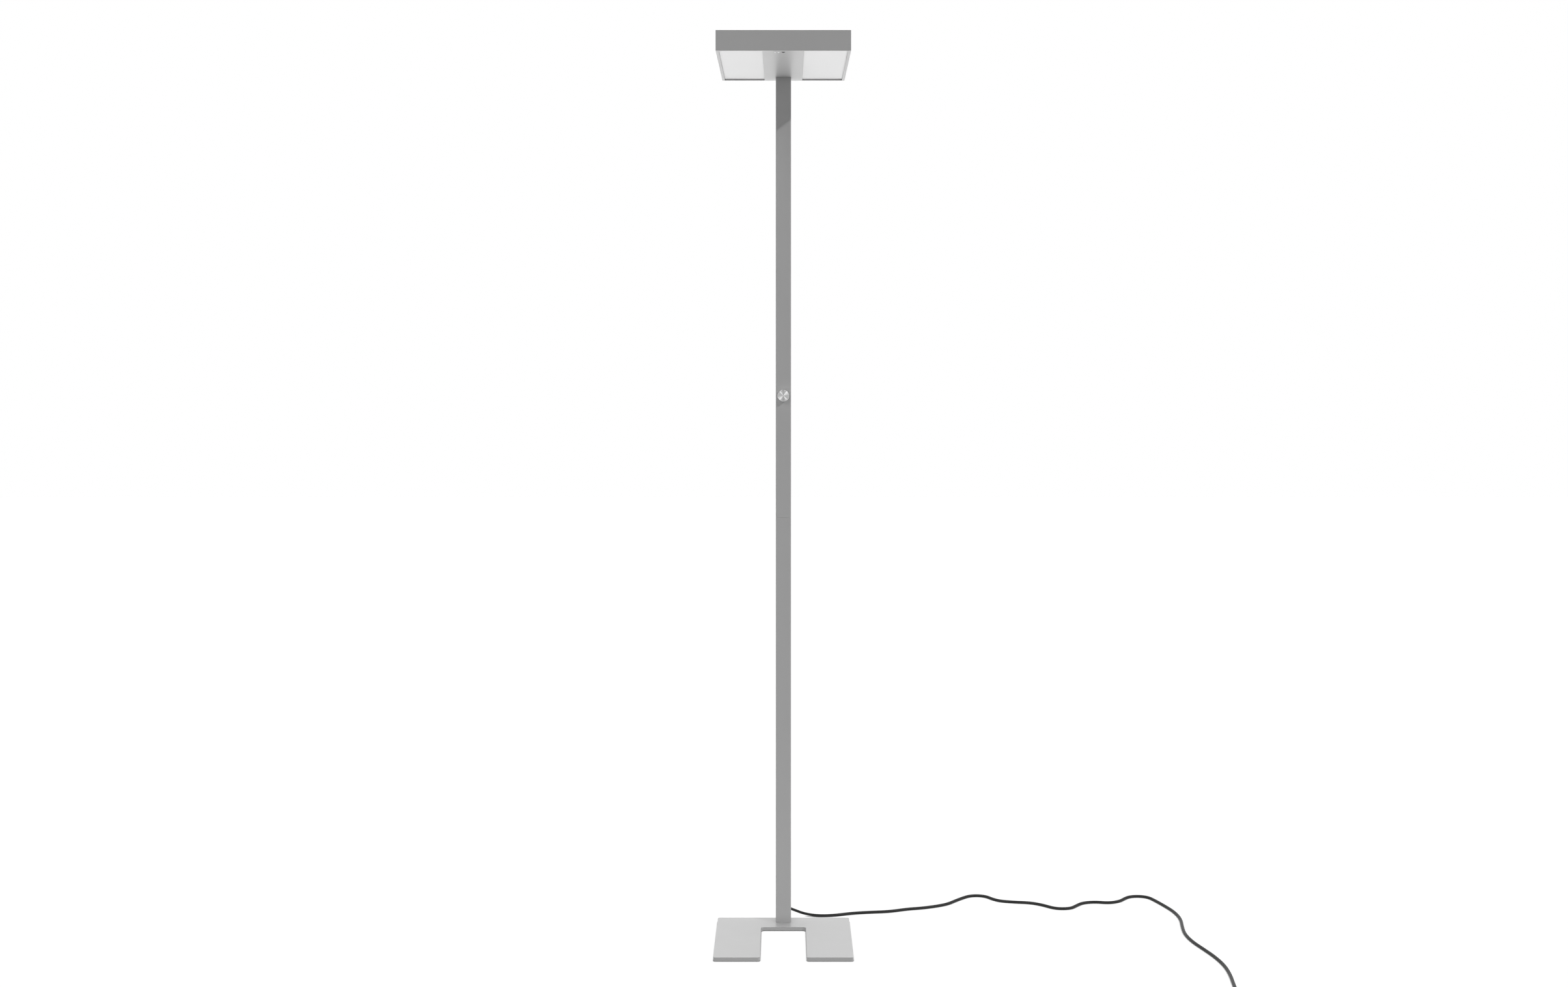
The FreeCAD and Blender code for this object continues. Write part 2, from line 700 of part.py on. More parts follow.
def make_knob_face():
    """The turned face plate, a groove's width inside the ring."""
    front = f"{POLE_FRONT} - knob_gap - knob_depth + face_recess"
    radius = "knob_diameter / 2 - knob_rim - knob_groove"
    start = ("0", front, "knob_height")
    return node(rod("face", radius, "face_thickness", start, BACKWARDS), "knob_face")


def make_control_ribbon():
    """The flat lead from the control board, up the pole and over to the driver."""
    low = "(knob_height + board_height / 2 - 8)"
    bend = f"({CHASSIS_TOP} + 4)"
    back = f"({ENCODER_BACK} + board_thickness)"
    driver_back = f"({POLE_FRONT} - driver_ahead)"
    upright = box(
        "ribbon_upright",
        ("ribbon_offset", back, low),
        ("ribbon_width", "ribbon_thickness", f"{bend} - {low}"),
    )
    level = box(
        "ribbon_level",
        ("ribbon_offset", driver_back, f"{bend} - ribbon_thickness"),
        ("ribbon_width", f"{back} + ribbon_thickness - {driver_back}", "ribbon_thickness"),
    )
    return node(joined("ribbon", [upright, level]), "control_ribbon")


# ---------------------------------------------------------------- lamp head


def make_head_frame():
    """The frame round the head: a wall all round, turned in at the bottom to a rim that carries the panels."""
    body = new_body("frame", ("0", "0", UNDERSIDE))
    sketch = new_sketch(body)
    rectangle(sketch, "head_width", "head_length")
    pad(body, sketch, "head_height")
    corners = [(f"{a} * head_width / 2", f"{b} * head_length / 2") for a in (-1, 1) for b in (-1, 1)]
    round_edges(body, upright_at(corners), "head_corner")
    round_edges(body, level_at("0"), "edge_round")
    round_edges(body, level_at("head_height"), "edge_round")
    window = new_sketch(body)
    rectangle(window, "(head_width - 2 * head_rim)", "(head_length - 2 * head_rim)")
    pocket(body, window, "head_height")
    inside = new_sketch(body, level="rim_thickness")
    rectangle(inside, "(head_width - 2 * head_wall)", "(head_length - 2 * head_wall)")
    pocket(body, inside, "head_height - rim_thickness")
    return node(body, "head_frame")


def make_spine_cover():
    """The plate down the middle of the underside, flush with the rim, with holes for the pole and the sensors."""
    body = new_body("spine", ("0", "0", UNDERSIDE))
    sketch = new_sketch(body)
    rectangle(sketch, "spine_width", "(head_length - 2 * head_rim)")
    pad(body, sketch, "rim_thickness")
    pole = new_sketch(body)
    rectangle(pole, "(pole_side + 2 * fit_gap)", "(pole_side + 2 * fit_gap)", "0", POLE_MIDDLE)
    pocket(body, pole, "rim_thickness")
    sensors = new_sketch(body)
    row = "(sensor_setback - head_length / 2)"
    circle(sensors, "0", row, "lens_diameter + 2 * fit_gap")
    circle(sensors, "-dot_near", row, "dot_diameter + 2 * fit_gap")
    circle(sensors, "-dot_far", row, "dot_diameter + 2 * fit_gap")
    pocket(body, sensors, "rim_thickness")
    return node(body, "spine_cover")


def side_strip(side, inner, outer):
    """The low X and the width of a strip between two distances from the middle, on one side."""
    return (inner if side > 0 else f"-({outer})"), f"{outer} - ({inner})"


def make_diffuser(side, label):
    """An opal panel on the rim's ledge and the spine plate's edge."""
    inner = "(spine_width / 2 - panel_overlap)"
    outer = "(head_width / 2 - head_wall - fit_gap)"
    low, width = side_strip(side, inner, outer)
    half = "(head_length / 2 - head_wall - fit_gap)"
    place = (low, f"-{half}", f"{UNDERSIDE} + rim_thickness")
    return node(box(label, place, (width, f"2 * {half}", "diffuser_thickness")), label)


CHAMBER_OUTER = "(head_width / 2 - head_wall - fit_gap - post_side - 1)"
CHAMBER_HALF = "(head_length / 2 - head_wall - fit_gap - post_side - 1)"
CHAMBER_LOW = f"({UNDERSIDE} + rim_thickness + diffuser_thickness)"
CHAMBER_TOP = f"({CHASSIS} - board_thickness)"


def make_reflector(side, label):
    """A white frame between a panel and its light board."""
    low, width = side_strip(side, "spine_width / 2", CHAMBER_OUTER)
    middle = f"({low} + ({width}) / 2)"
    body = new_body(f"{label}_frame", ("0", "0", CHAMBER_LOW))
    sketch = new_sketch(body)
    rectangle(sketch, f"({width})", f"(2 * {CHAMBER_HALF})", middle)
    pad(body, sketch, f"{CHAMBER_TOP} - {CHAMBER_LOW}")
    hollow = new_sketch(body)
    inner_width = f"({width} - 2 * reflector_wall)"
    rectangle(hollow, inner_width, f"(2 * {CHAMBER_HALF} - 2 * reflector_wall)", middle)
    pocket(body, hollow, f"{CHAMBER_TOP} - {CHAMBER_LOW}")
    return node(body, label)


def make_light_board(side, label, low_z):
    """A board of light-emitting chips, above a panel or on top of the chassis."""
    low, width = side_strip(side, "spine_width / 2", CHAMBER_OUTER)
    return node(box(label, (low, f"-{CHAMBER_HALF}", low_z), (width, f"2 * {CHAMBER_HALF}", "board_thickness")), label)


def make_chips(label, low_z, rows=8, columns=2):
    """Light-emitting chips in even rows on the two boards of one level."""
    chips = []
    for side in (-1, 1):
        low, width = side_strip(side, "spine_width / 2", CHAMBER_OUTER)
        for column in range(columns):
            across = f"{low} + ({width}) * {(column + 0.5) / columns} - chip_width / 2"
            for row in range(rows):
                along = f"-{CHAMBER_HALF} + 2 * {CHAMBER_HALF} * {(row + 0.5) / rows} - chip_length / 2"
                chips.append(
                    box(
                        f"{label}_{len(chips) + 1}",
                        (across, along, low_z),
                        ("chip_width", "chip_length", "chip_height"),
                    )
                )
    return node(group(f"{label}_group", chips), label)


def make_corner_posts(label, low, high):
    """Four square posts in the corners, from one level to another."""
    inset_x = "(head_width / 2 - head_wall - fit_gap)"
    inset_y = "(head_length / 2 - head_wall - fit_gap)"
    posts = []
    for a in (-1, 1):
        for b in (-1, 1):
            x = f"{inset_x} - post_side" if a > 0 else f"-{inset_x}"
            y = f"{inset_y} - post_side" if b > 0 else f"-{inset_y}"
            posts.append(box(f"{label}_{len(posts) + 1}", (x, y, low), ("post_side", "post_side", f"{high} - {low}")))
    return node(group(f"{label}_group", posts), label)


def bracket_screw_places():
    """The four chassis screws, from the pole's axis."""
    return [
        (f"{a} * bracket_screw_across / 2", f"{b} * bracket_screw_along / 2") for a in (-1, 1) for b in (-1, 1)
    ]


def make_head_bracket():
    """A cast block on the spine plate, with a hollow spigot down into the pole."""
    body = new_body("bracket", ("0", POLE_MIDDLE, f"{UNDERSIDE} + rim_thickness"))
    sketch = new_sketch(body)
    rectangle(sketch, "bracket_width", "bracket_length")
    pad(body, sketch, "chassis_level - rim_thickness")
    spigot = new_sketch(body, level="-spigot_length")
    rectangle(spigot, INSERT_SIDE, INSERT_SIDE)
    pad(body, spigot, "spigot_length")
    way = new_sketch(body, level="-spigot_length")
    rectangle(way, "cable_bore", "cable_bore")
    pocket(body, way, "spigot_length + chassis_level - rim_thickness")
    threads = new_sketch(body)
    for x, y in bracket_screw_places():
        circle(threads, x, y, "bracket_screw_diameter + 2 * running_gap")
    pocket(body, threads, "chassis_level - rim_thickness")
    wall = f"(({INSERT_SIDE} - cable_bore) / 2)"
    holes = [
        rod(
            f"spigot_hole_{n}",
            "joint_screw_diameter / 2 + running_gap",
            f"{wall} + 2",
            ("0", f"{POLE_BACK} - pole_wall - {wall} - 1", height),
            BACKWARDS,
        )
        for n, height in enumerate(bracket_clamp_heights(), start=1)
    ]
    return node(without("bracket_cut", body, holes), "head_bracket")


def make_bracket_clamp_screws():
    """The two screws that hold the pole's top to the spigot."""
    screws = back_screws("clamp_screw", bracket_clamp_heights())
    return node(group("screws_in_clamp", screws), "pole_clamp_screws")


def make_chassis():
    """The plate that fills the frame and carries boards, driver and top cover."""
    body = new_body("chassis", ("0", "0", CHASSIS))
    sketch = new_sketch(body)
    width = "(head_width - 2 * head_wall - 2 * fit_gap)"
    length = "(head_length - 2 * head_wall - 2 * fit_gap)"
    rectangle(sketch, width, length)
    pad(body, sketch, "chassis_thickness")
    way = new_sketch(body)
    rectangle(way, "cable_bore", "cable_bore", "0", POLE_MIDDLE)
    pocket(body, way, "chassis_thickness")
    holes = new_sketch(body)
    for x, y in bracket_screw_places():
        circle(holes, x, f"{POLE_MIDDLE} + {y}", "bracket_screw_diameter + 2 * screw_gap")
    pocket(body, holes, "chassis_thickness")
    return node(body, "chassis_plate")


def make_bracket_screws():
    """Screws from above, through the chassis and into the bracket."""
    downwards = Rotation(Vector(1, 0, 0), 180)
    screws = [
        screw(
            f"bracket_screw_{n}",
            (x, f"{POLE_MIDDLE} + {y}", f"{CHASSIS_TOP} + bracket_screw_head_height"),
            "bracket_screw_diameter",
            ("bracket_screw_head", "bracket_screw_head_height"),
            "chassis_thickness + 0.7 * (chassis_level - rim_thickness)",
            downwards,
        )
        for n, (x, y) in enumerate(bracket_screw_places(), start=1)
    ]
    return node(group("screws_in_bracket", screws), "bracket_screws")


def make_top_cover():
    """The clear panel that closes the head's top, over the upward light."""
    x, y = "(head_width / 2 - head_wall - fit_gap)", "(head_length / 2 - head_wall - fit_gap)"
    size = (f"2 * {x}", f"2 * {y}", "cover_thickness")
    return node(box("cover", (f"-{x}", f"-{y}", COVER), size), "top_cover")


def make_driver():
    """The driver's housing on the chassis, ahead of the pole."""
    place = ("-driver_width / 2", f"{POLE_FRONT} - driver_ahead - driver_length", CHASSIS_TOP)
    return node(box("driver_case", place, ("driver_width", "driver_length", "driver_height")), "driver")


def make_terminal_block():
    """The terminal block where the mains lead ends, left of the ribbon lead."""
    place = (
        "ribbon_offset - 1 - terminal_width",
        f"{POLE_FRONT} - terminal_ahead - terminal_length",
        CHASSIS_TOP,
    )
    return node(box("terminals", place, ("terminal_width", "terminal_length", "terminal_height")), "terminal_block")


# ---------------------------------------------------------------- sensors


def make_sensor_housing():
    """The sensors' housing on the spine plate's inner face."""
    row = "(sensor_setback - head_length / 2)"
    place = ("-sensor_width * 0.65", f"{row} - sensor_length / 2", f"{UNDERSIDE} + rim_thickness")
    return node(box("sensor_case", place, ("sensor_width", "sensor_length", "sensor_height")), "sensor_housing")


def small_lens(name, x, diameter, stand):
    """A round lens down through the spine plate, with a domed end."""
    row = "(sensor_setback - head_length / 2)"
    stem = rod(f"{name}_stem", f"{diameter} / 2", f"rim_thickness + {stand}", (x, row, f"{UNDERSIDE} - {stand}"))
    ball = document.addObject("Part::Sphere", f"{name}_ball")
    radius = f"({diameter} * 0.75)"
    bind(ball, "Radius", radius)
    for axis, text in zip("xyz", (x, row, f"{UNDERSIDE} - {stand} + {radius}")):
        bind(ball, f"Placement.Base.{axis}", text)
    top = rod(f"{name}_top", f"{diameter} / 2", "rim_thickness", (x, row, UNDERSIDE))
    dome = document.addObject("Part::MultiCommon", f"{name}_dome")
    dome.Shapes = [stem, ball]
    return joined(f"{name}_lens", [dome, top])


def make_sensor_lenses():
    """The dark daylight lens and the two small white ones beside it."""
    node(small_lens("dark", "0", "lens_diameter", "lens_stand"), "sensor_lens")
    dots = [small_lens("near", "-dot_near", "dot_diameter", "dot_stand")]
    dots.append(small_lens("far", "-dot_far", "dot_diameter", "dot_stand"))
    node(group("dots", dots), "indicator_lenses")


# ---------------------------------------------------------------- leads


def tangent_path(points, radius_at):
    """Straight runs joined by tangent arcs. radius_at gives the arc's radius from the two runs and the turn."""
    edges, start = [], points[0]
    for before, corner, after in zip(points, points[1:], points[2:]):
        one, two = corner - before, after - corner
        turn = one.getAngle(two)
        radius = radius_at(one.Length, two.Length, turn)
        reach = radius * math.tan(turn / 2)
        into, out = corner - one.normalize() * reach, corner + two.normalize() * reach
        bisector = (into + out) * 0.5 - corner
        inward = radius / math.cos(turn / 2) - radius
        middle = corner + bisector.normalize() * inward
        if start.distanceToPoint(into) > 1e-6:
            edges.append(Part.LineSegment(start, into).toShape())
        edges.append(Part.Arc(into, middle, out).toShape())
        start = out
    edges.append(Part.LineSegment(start, points[-1]).toShape())
    return edges


def tube_along(name, edges, diameter):
    """A round solid along tangent edges; its volume has to match its section times its length."""
    wire = Part.Wire(edges)
    first = edges[0]
    start, direction = first.valueAt(first.FirstParameter), first.tangentAt(first.FirstParameter)
    profile = Part.Wire([Part.Circle(start, direction, diameter / 2).toShape()])
    shell = Part.BRepOffsetAPI.MakePipeShell(wire)
    shell.add(profile)
    shell.build()
    shell.makeSolid()
    solid = shell.shape()
    expected = math.pi * diameter**2 / 4 * wire.Length
    print(f"{name}: length {wire.Length:.1f}, volume / expected {solid.Volume / expected:.4f}")
    if abs(solid.Volume / expected - 1) > 0.01:
        raise RuntimeError(f"{name} has the wrong volume")
    return solid


def feature(label, shape):
    """A piece whose form is worked out here, as a feature of the document."""
    thing = document.addObject("Part::Feature", f"{label}_form")
    thing.Shape = shape
    thing.Placement = Placement()
    return node(thing, label)


def make_pole_cable():
    """The mains lead inside the pole, from the gland to the terminal block."""
    middle, exit_height = value(POLE_MIDDLE), value("exit_height")
    terminal = value(f"{POLE_FRONT} - terminal_ahead")
    top = value(f"{CHASSIS_TOP} + terminal_height / 2")
    points = [
        Vector(0, value(f"{POLE_BACK} + relief_length"), exit_height),
        Vector(0, middle, exit_height),
        Vector(0, middle, top),
        Vector(0, terminal, top),
    ]
    bend = 1.2 * value("cord_diameter")
    edges = tangent_path(points, lambda one, two, turn: bend)
    feature("pole_cable", tube_along("pole_cable", edges, value("cord_diameter")))


def make_cable_gland():
    """The gland in the pole's back: lock ring, neck, flange and tapered strain relief, bored for the lead."""
    body = new_body("gland", ("0", POLE_BACK, "exit_height"), BACKWARDS)
    bore = "(cord_diameter / 2 + bore_gap)"
    wall, flange = "pole_wall", "gland_flange / 2"
    revolve(
        body,
        [
            (bore, f"-({wall} + gland_lock)"),
            (f"{flange} - 1", f"-({wall} + gland_lock)"),
            (f"{flange} - 1", f"-{wall}"),
            ("gland_neck / 2", f"-{wall}"),
            ("gland_neck / 2", "0"),
            (flange, "0"),
            (flange, "gland_flange_thickness"),
            ("relief_root / 2", "gland_flange_thickness"),
            ("relief_tip / 2", "relief_length"),
            (bore, "relief_length"),
        ],
    )
    return node(body, "cable_gland")


def lead_radius(one, two, turn):
    """As wide a bend as its two runs allow."""
    return 0.45 * min(one, two) / math.tan(turn / 2)


def coil_point(turns):
    """A place on the coil: it spirals in on the lower layer, climbs in the half turn where it is narrowest, and
    spirals out again on the upper layer."""
    pitch, outer = value("turn_pitch"), value("coil_radius")
    from_inmost = turns - TURNS / 2
    radius = outer - pitch * TURNS / 2 + pitch * abs(from_inmost)
    climb = min(max(from_inmost * 2 + 0.5, 0.0), 1.0)
    low = value("cord_diameter / 2 + tie_thickness + tie_gap")
    angle = -2 * math.pi * turns
    return Vector(
        COIL_START[0] - outer + radius * math.cos(angle),
        COIL_START[1] + radius * math.sin(angle),
        low + pitch * climb,
    )


def coil_heading(turns):
    """The coil's direction at a place on it."""
    step = 1e-4
    return (coil_point(turns + step) - coil_point(turns - step)).normalize()


def tangent_arc(start, heading, end):
    """The arc that leaves start along heading and passes through end."""
    chord = end - start
    turn = heading.getAngle(chord)
    if turn < 1e-6:
        return Part.LineSegment(start, end).toShape()
    across = (heading - chord * (heading.dot(chord) / chord.Length**2)).normalize()
    sagitta = chord.Length / 2 * math.tan(turn / 2)
    return Part.Arc(start, (start + end) * 0.5 + across * sagitta, end).toShape()


def biarc(start, heading, end, end_heading):
    """Two tangent arcs from one place and direction to another."""
    chord, both = end - start, heading + end_heading
    spare = 2 * (1 - heading.dot(end_heading))
    along = chord.dot(both)
    reach = (-along + math.sqrt(along**2 + spare * chord.dot(chord))) / spare
    joint = (start + heading * reach + end - end_heading * reach) * 0.5
    return [tangent_arc(start, heading, joint), tangent_arc(end, end_heading * -1, joint)]


def make_cord():
    """The free mains lead: a run along the floor, its coil, the tie, and a short tail to the plug."""
    diameter = value("cord_diameter")
    first, last = coil_heading(0.001), coil_heading(TURNS - 0.001)
    coil_in = coil_point(0) - first * diameter
    coil_out = coil_point(TURNS) + last * diameter
    quarters = int(round(TURNS * 4))
    edges = [Part.LineSegment(coil_in, coil_point(0)).toShape()]
    for n in range(quarters):
        a, b = n / 4, (n + 1) / 4
        heading = first if n == 0 else coil_heading(a)
        end_heading = last if n == quarters - 1 else coil_heading(b)
        edges += biarc(coil_point(a), heading, coil_point(b), end_heading)
    edges.append(Part.LineSegment(coil_point(TURNS), coil_out).toShape())
    edges = Part.__sortEdges__(edges)
    report_gap(edges, diameter)
    feature("cord_coil", tube_along("cord_coil", edges, diameter))

    route = [Vector(*point) for point in LEAD_ROUTE]
    route[0] = Vector(0, value(f"{POLE_BACK} + relief_length"), value("exit_height"))
    route.append(coil_in - first * 3 * diameter)
    route.append(coil_in)
    report_radii("cord_run", route)
    feature("cord_run", tube_along("cord_run", tangent_path(route, lead_radius), diameter))

    plug_axis = value("plug_diameter / 2")
    start = coil_out
    rise = (plug_axis - start.z) / 4
    tail = [start]
    for n, share in enumerate((0.3, 1.2, 2.8, 3.7, 4.0), start=1):
        tail.append(Vector(start.x - n * TAIL_STEP, start.y, start.z + rise * share))
    tail.append(Vector(tail[-1].x - TAIL_STEP, start.y, plug_axis))
    report_radii("cord_tail", tail)
    feature("cord_tail", tube_along("cord_tail", tangent_path(tail, lead_radius), diameter))
    return tail[-1]


def report_radii(name, route):
    """Prints the radii of a lead's bends."""
    radii = []
    for before, corner, after in zip(route, route[1:], route[2:]):
        one, two = corner - before, after - corner
        turn = one.getAngle(two)
        radii.append(lead_radius(one.Length, two.Length, turn) if turn > 1e-6 else float("inf"))
    print(f"{name}: radii " + " ".join(f"{r:.0f}" for r in radii))


def report_gap(edges, diameter):
    """Prints the coil's least gap to itself, measured on points along it."""
    points, along, travelled = [], [], 0.0
    for edge in edges:
        count = max(2, int(edge.Length / 2))
        for n in range(count):
            span = edge.LastParameter - edge.FirstParameter
            points.append(edge.valueAt(edge.FirstParameter + span * n / count))
            along.append(travelled + edge.Length * n / count)
        travelled += edge.Length
    gap = min(
        points[i].distanceToPoint(points[j])
        for i in range(len(points))
        for j in range(i + 1, len(points))
        if along[j] - along[i] > 8 * diameter
    )
    print(f"cord_coil: least gap {gap - diameter:.2f}")


def make_cord_tie():
    """The tie round the coil's turns, on the side away from where the lead comes in."""
    inner = "(coil_radius - turn_pitch * 2.625 - cord_diameter / 2 - 2 * tie_gap)"
    outer = "(coil_radius + cord_diameter / 2 + tie_gap)"
    middle = f"({COIL_START[0]} - coil_radius)"
    height = "(cord_diameter + turn_pitch + 2 * tie_gap)"
    strap = box(
        "tie_outside",
        (f"{middle} - {outer} - tie_thickness", f"{COIL_START[1]} - tie_width / 2", "0"),
        (f"{outer} - {inner} + 2 * tie_thickness", "tie_width", f"{height} + 2 * tie_thickness"),
    )
    opening = box(
        "tie_inside",
        (f"{middle} - {outer}", f"{COIL_START[1]} - tie_width / 2 - 1", "tie_thickness"),
        (f"{outer} - {inner}", "tie_width + 2", height),
    )
    return node(without("tie", strap, [opening]), "cord_tie")


def make_plug(start):
    """An earthed round plug on its side: tapered tail, body with side slots and a socket hole, pins, earth strips."""
    place = (f"{start.x}", f"{start.y}", "plug_diameter / 2")
    body = new_body("plug", place, LEFTWARDS)
    full = "plug_diameter / 2"
    revolve(
        body,
        [
            ("0", "0"),
            ("plug_tail / 2", "0"),
            ("plug_tail / 2 + 1.5", "plug_length * 0.36"),
            ("plug_diameter * 0.36", "plug_length * 0.5"),
            (f"{full} - 1", "plug_length * 0.72"),
            (full, "plug_length * 0.75"),
            (full, "plug_length - 1"),
            (f"{full} - 1", "plug_length"),
            ("0", "plug_length"),
        ],
    )
    slots = new_sketch(body, level="plug_length - clip_length")
    depth = "(2 * clip_thickness)"
    rectangle(slots, depth, "(clip_width + 0.4)", f"({full} - {depth} / 2)")
    rectangle(slots, depth, "(clip_width + 0.4)", f"-({full} - {depth} / 2)")
    pocket(body, slots, "clip_length")
    node(body, "plug_body")
    pins = []
    for side in (-1, 1):
        y = f"{start.y} + {side} * pin_spacing / 2"
        front = (f"{start.x} - plug_length", y, "plug_diameter / 2")
        pins.append(rod(f"pin_{len(pins) + 1}", "pin_diameter / 2", "pin_length", front, LEFTWARDS))
    node(group("pins", pins), "plug_pins")
    clips = []
    for side in (-1, 1):
        z = f"plug_diameter / 2 + {side} * ({full} - 1.5 * clip_thickness) - clip_thickness / 2"
        low = (f"{start.x} - plug_length", f"{start.y} - clip_width / 2", z)
        clips.append(box(f"clip_{len(clips) + 1}", low, ("clip_length", "clip_width", "clip_thickness")))
    node(group("clips", clips), "plug_earth_strips")


# ---------------------------------------------------------------- the whole lamp


def build():
    """Makes every piece."""
    make_base_plate()
    make_floor_glides()
    make_base_screws()
    make_foot_plug()
    make_lower_tube()
    make_upper_tube()
    make_joint_sleeve()
    make_joint_screws()
    make_cable_gland()
    make_pole_cable()
    make_encoder_housing()
    make_encoder_nut()
    make_encoder_board()
    make_encoder_shaft()
    make_switch_plunger()
    make_knob_body()
    make_knob_face()
    make_control_ribbon()
    make_head_frame()
    make_spine_cover()
    for side, name in ((-1, "left"), (1, "right")):
        make_diffuser(side, f"diffuser_{name}")
        make_reflector(side, f"reflector_{name}")
        make_light_board(side, f"downlight_board_{name}", CHAMBER_TOP)
        make_light_board(side, f"uplight_board_{name}", CHASSIS_TOP)
    make_chips("downlight_chips", f"{CHAMBER_TOP} - chip_height")
    make_chips("uplight_chips", f"{CHASSIS_TOP} + board_thickness")
    make_corner_posts("lower_corner_posts", CHAMBER_LOW, CHASSIS)
    make_corner_posts("upper_corner_posts", CHASSIS_TOP, COVER)
    make_head_bracket()
    make_bracket_clamp_screws()
    make_chassis()
    make_bracket_screws()
    make_top_cover()
    make_driver()
    make_terminal_block()
    make_sensor_housing()
    make_sensor_lenses()
    plug_start = make_cord()
    make_cord_tie()
    make_plug(plug_start)
    document.recompute()


def check():
    """Stops if any object failed or any piece has no sound shape."""
    for thing in document.Objects:
        if "Invalid" in thing.State or "Error" in thing.State:
            raise RuntimeError(f"{thing.Label} failed: {thing.State}")
    for piece in nodes:
        if piece.Shape.isNull() or not piece.Shape.isValid() or piece.Shape.Volume <= 0:
            raise RuntimeError(f"{piece.Label} has no sound shape")


def write():
    """Writes each piece to its own file."""
    os.makedirs("parts", exist_ok=True)
    for piece in nodes:
        piece.Shape.exportStep(os.path.join("parts", f"{piece.Label}.step"))
    print(f"{len(nodes)} pieces")


build()
check()
write()
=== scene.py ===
"""Office floor lamp: dresses the fixed frame and adds finer pieces, its mains lead and a studio."""

import logging
import math
from collections.abc import Callable, Iterable, Sequence
from dataclasses import dataclass
from enum import Enum

import bmesh
import bpy
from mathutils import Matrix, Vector


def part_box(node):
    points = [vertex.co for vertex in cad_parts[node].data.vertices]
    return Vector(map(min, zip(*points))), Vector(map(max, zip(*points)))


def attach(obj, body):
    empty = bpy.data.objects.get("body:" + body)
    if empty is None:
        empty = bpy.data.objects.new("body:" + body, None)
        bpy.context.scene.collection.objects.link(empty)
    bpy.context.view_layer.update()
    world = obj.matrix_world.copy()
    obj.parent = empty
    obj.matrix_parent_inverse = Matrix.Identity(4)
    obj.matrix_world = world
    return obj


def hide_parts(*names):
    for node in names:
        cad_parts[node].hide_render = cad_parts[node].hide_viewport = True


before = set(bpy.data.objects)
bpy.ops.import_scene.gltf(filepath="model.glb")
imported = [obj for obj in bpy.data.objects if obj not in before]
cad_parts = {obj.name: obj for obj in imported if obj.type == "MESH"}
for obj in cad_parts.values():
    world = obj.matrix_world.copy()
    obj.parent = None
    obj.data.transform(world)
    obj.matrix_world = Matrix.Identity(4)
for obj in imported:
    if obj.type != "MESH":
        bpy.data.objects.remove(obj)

Point = tuple[float, float, float]
Pair = tuple[float, float]
Pieces = list[bpy.types.Object]

log = logging.getLogger("floor_lamp")
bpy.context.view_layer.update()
MM = 0.001
KNOB_HEIGHT = 1.2053
POLE_BACK = 0.2125


# ---------------------------------------------------------------- materials

GRAIN_DETAIL = 3.0
CLOUD_DETAIL = 2.0


def linear(code: str) -> tuple[float, float, float, float]:
    """Turns an sRGB hex colour into linear light.

    Args:
        code: the colour, such as "#C8C9CB".

    Returns:
        Red, green, blue and an alpha of 1.
    """
    parts = [int(code[n : n + 2], 16) / 255 for n in (1, 3, 5)]
    light = [p / 12.92 if p <= 0.04045 else ((p + 0.055) / 1.055) ** 2.4 for p in parts]
    return light[0], light[1], light[2], 1.0


def add_node(
    tree: bpy.types.NodeTree, kind: str, settings: dict | None = None, **links: object
) -> bpy.types.Node:
    """Adds one node with its settings and what goes into it.

    Args:
        tree: the node tree.
        kind: the node's type, such as "ShaderNodeTexNoise".
        settings: attributes of the node itself.
        links: a socket's name, with _ for a space, or _ and its number, to a value or to
            another node's output.

    Returns:
        The node.
    """
    node = tree.nodes.new(kind)
    for name, setting in (settings or {}).items():
        setattr(node, name, setting)
    for name, given in links.items():
        number = name[1:]
        socket = node.inputs[int(number) if number.isdigit() else name.replace("_", " ")]
        if isinstance(given, bpy.types.NodeSocket):
            tree.links.new(given, socket)
        else:
            socket.default_value = given
    return node


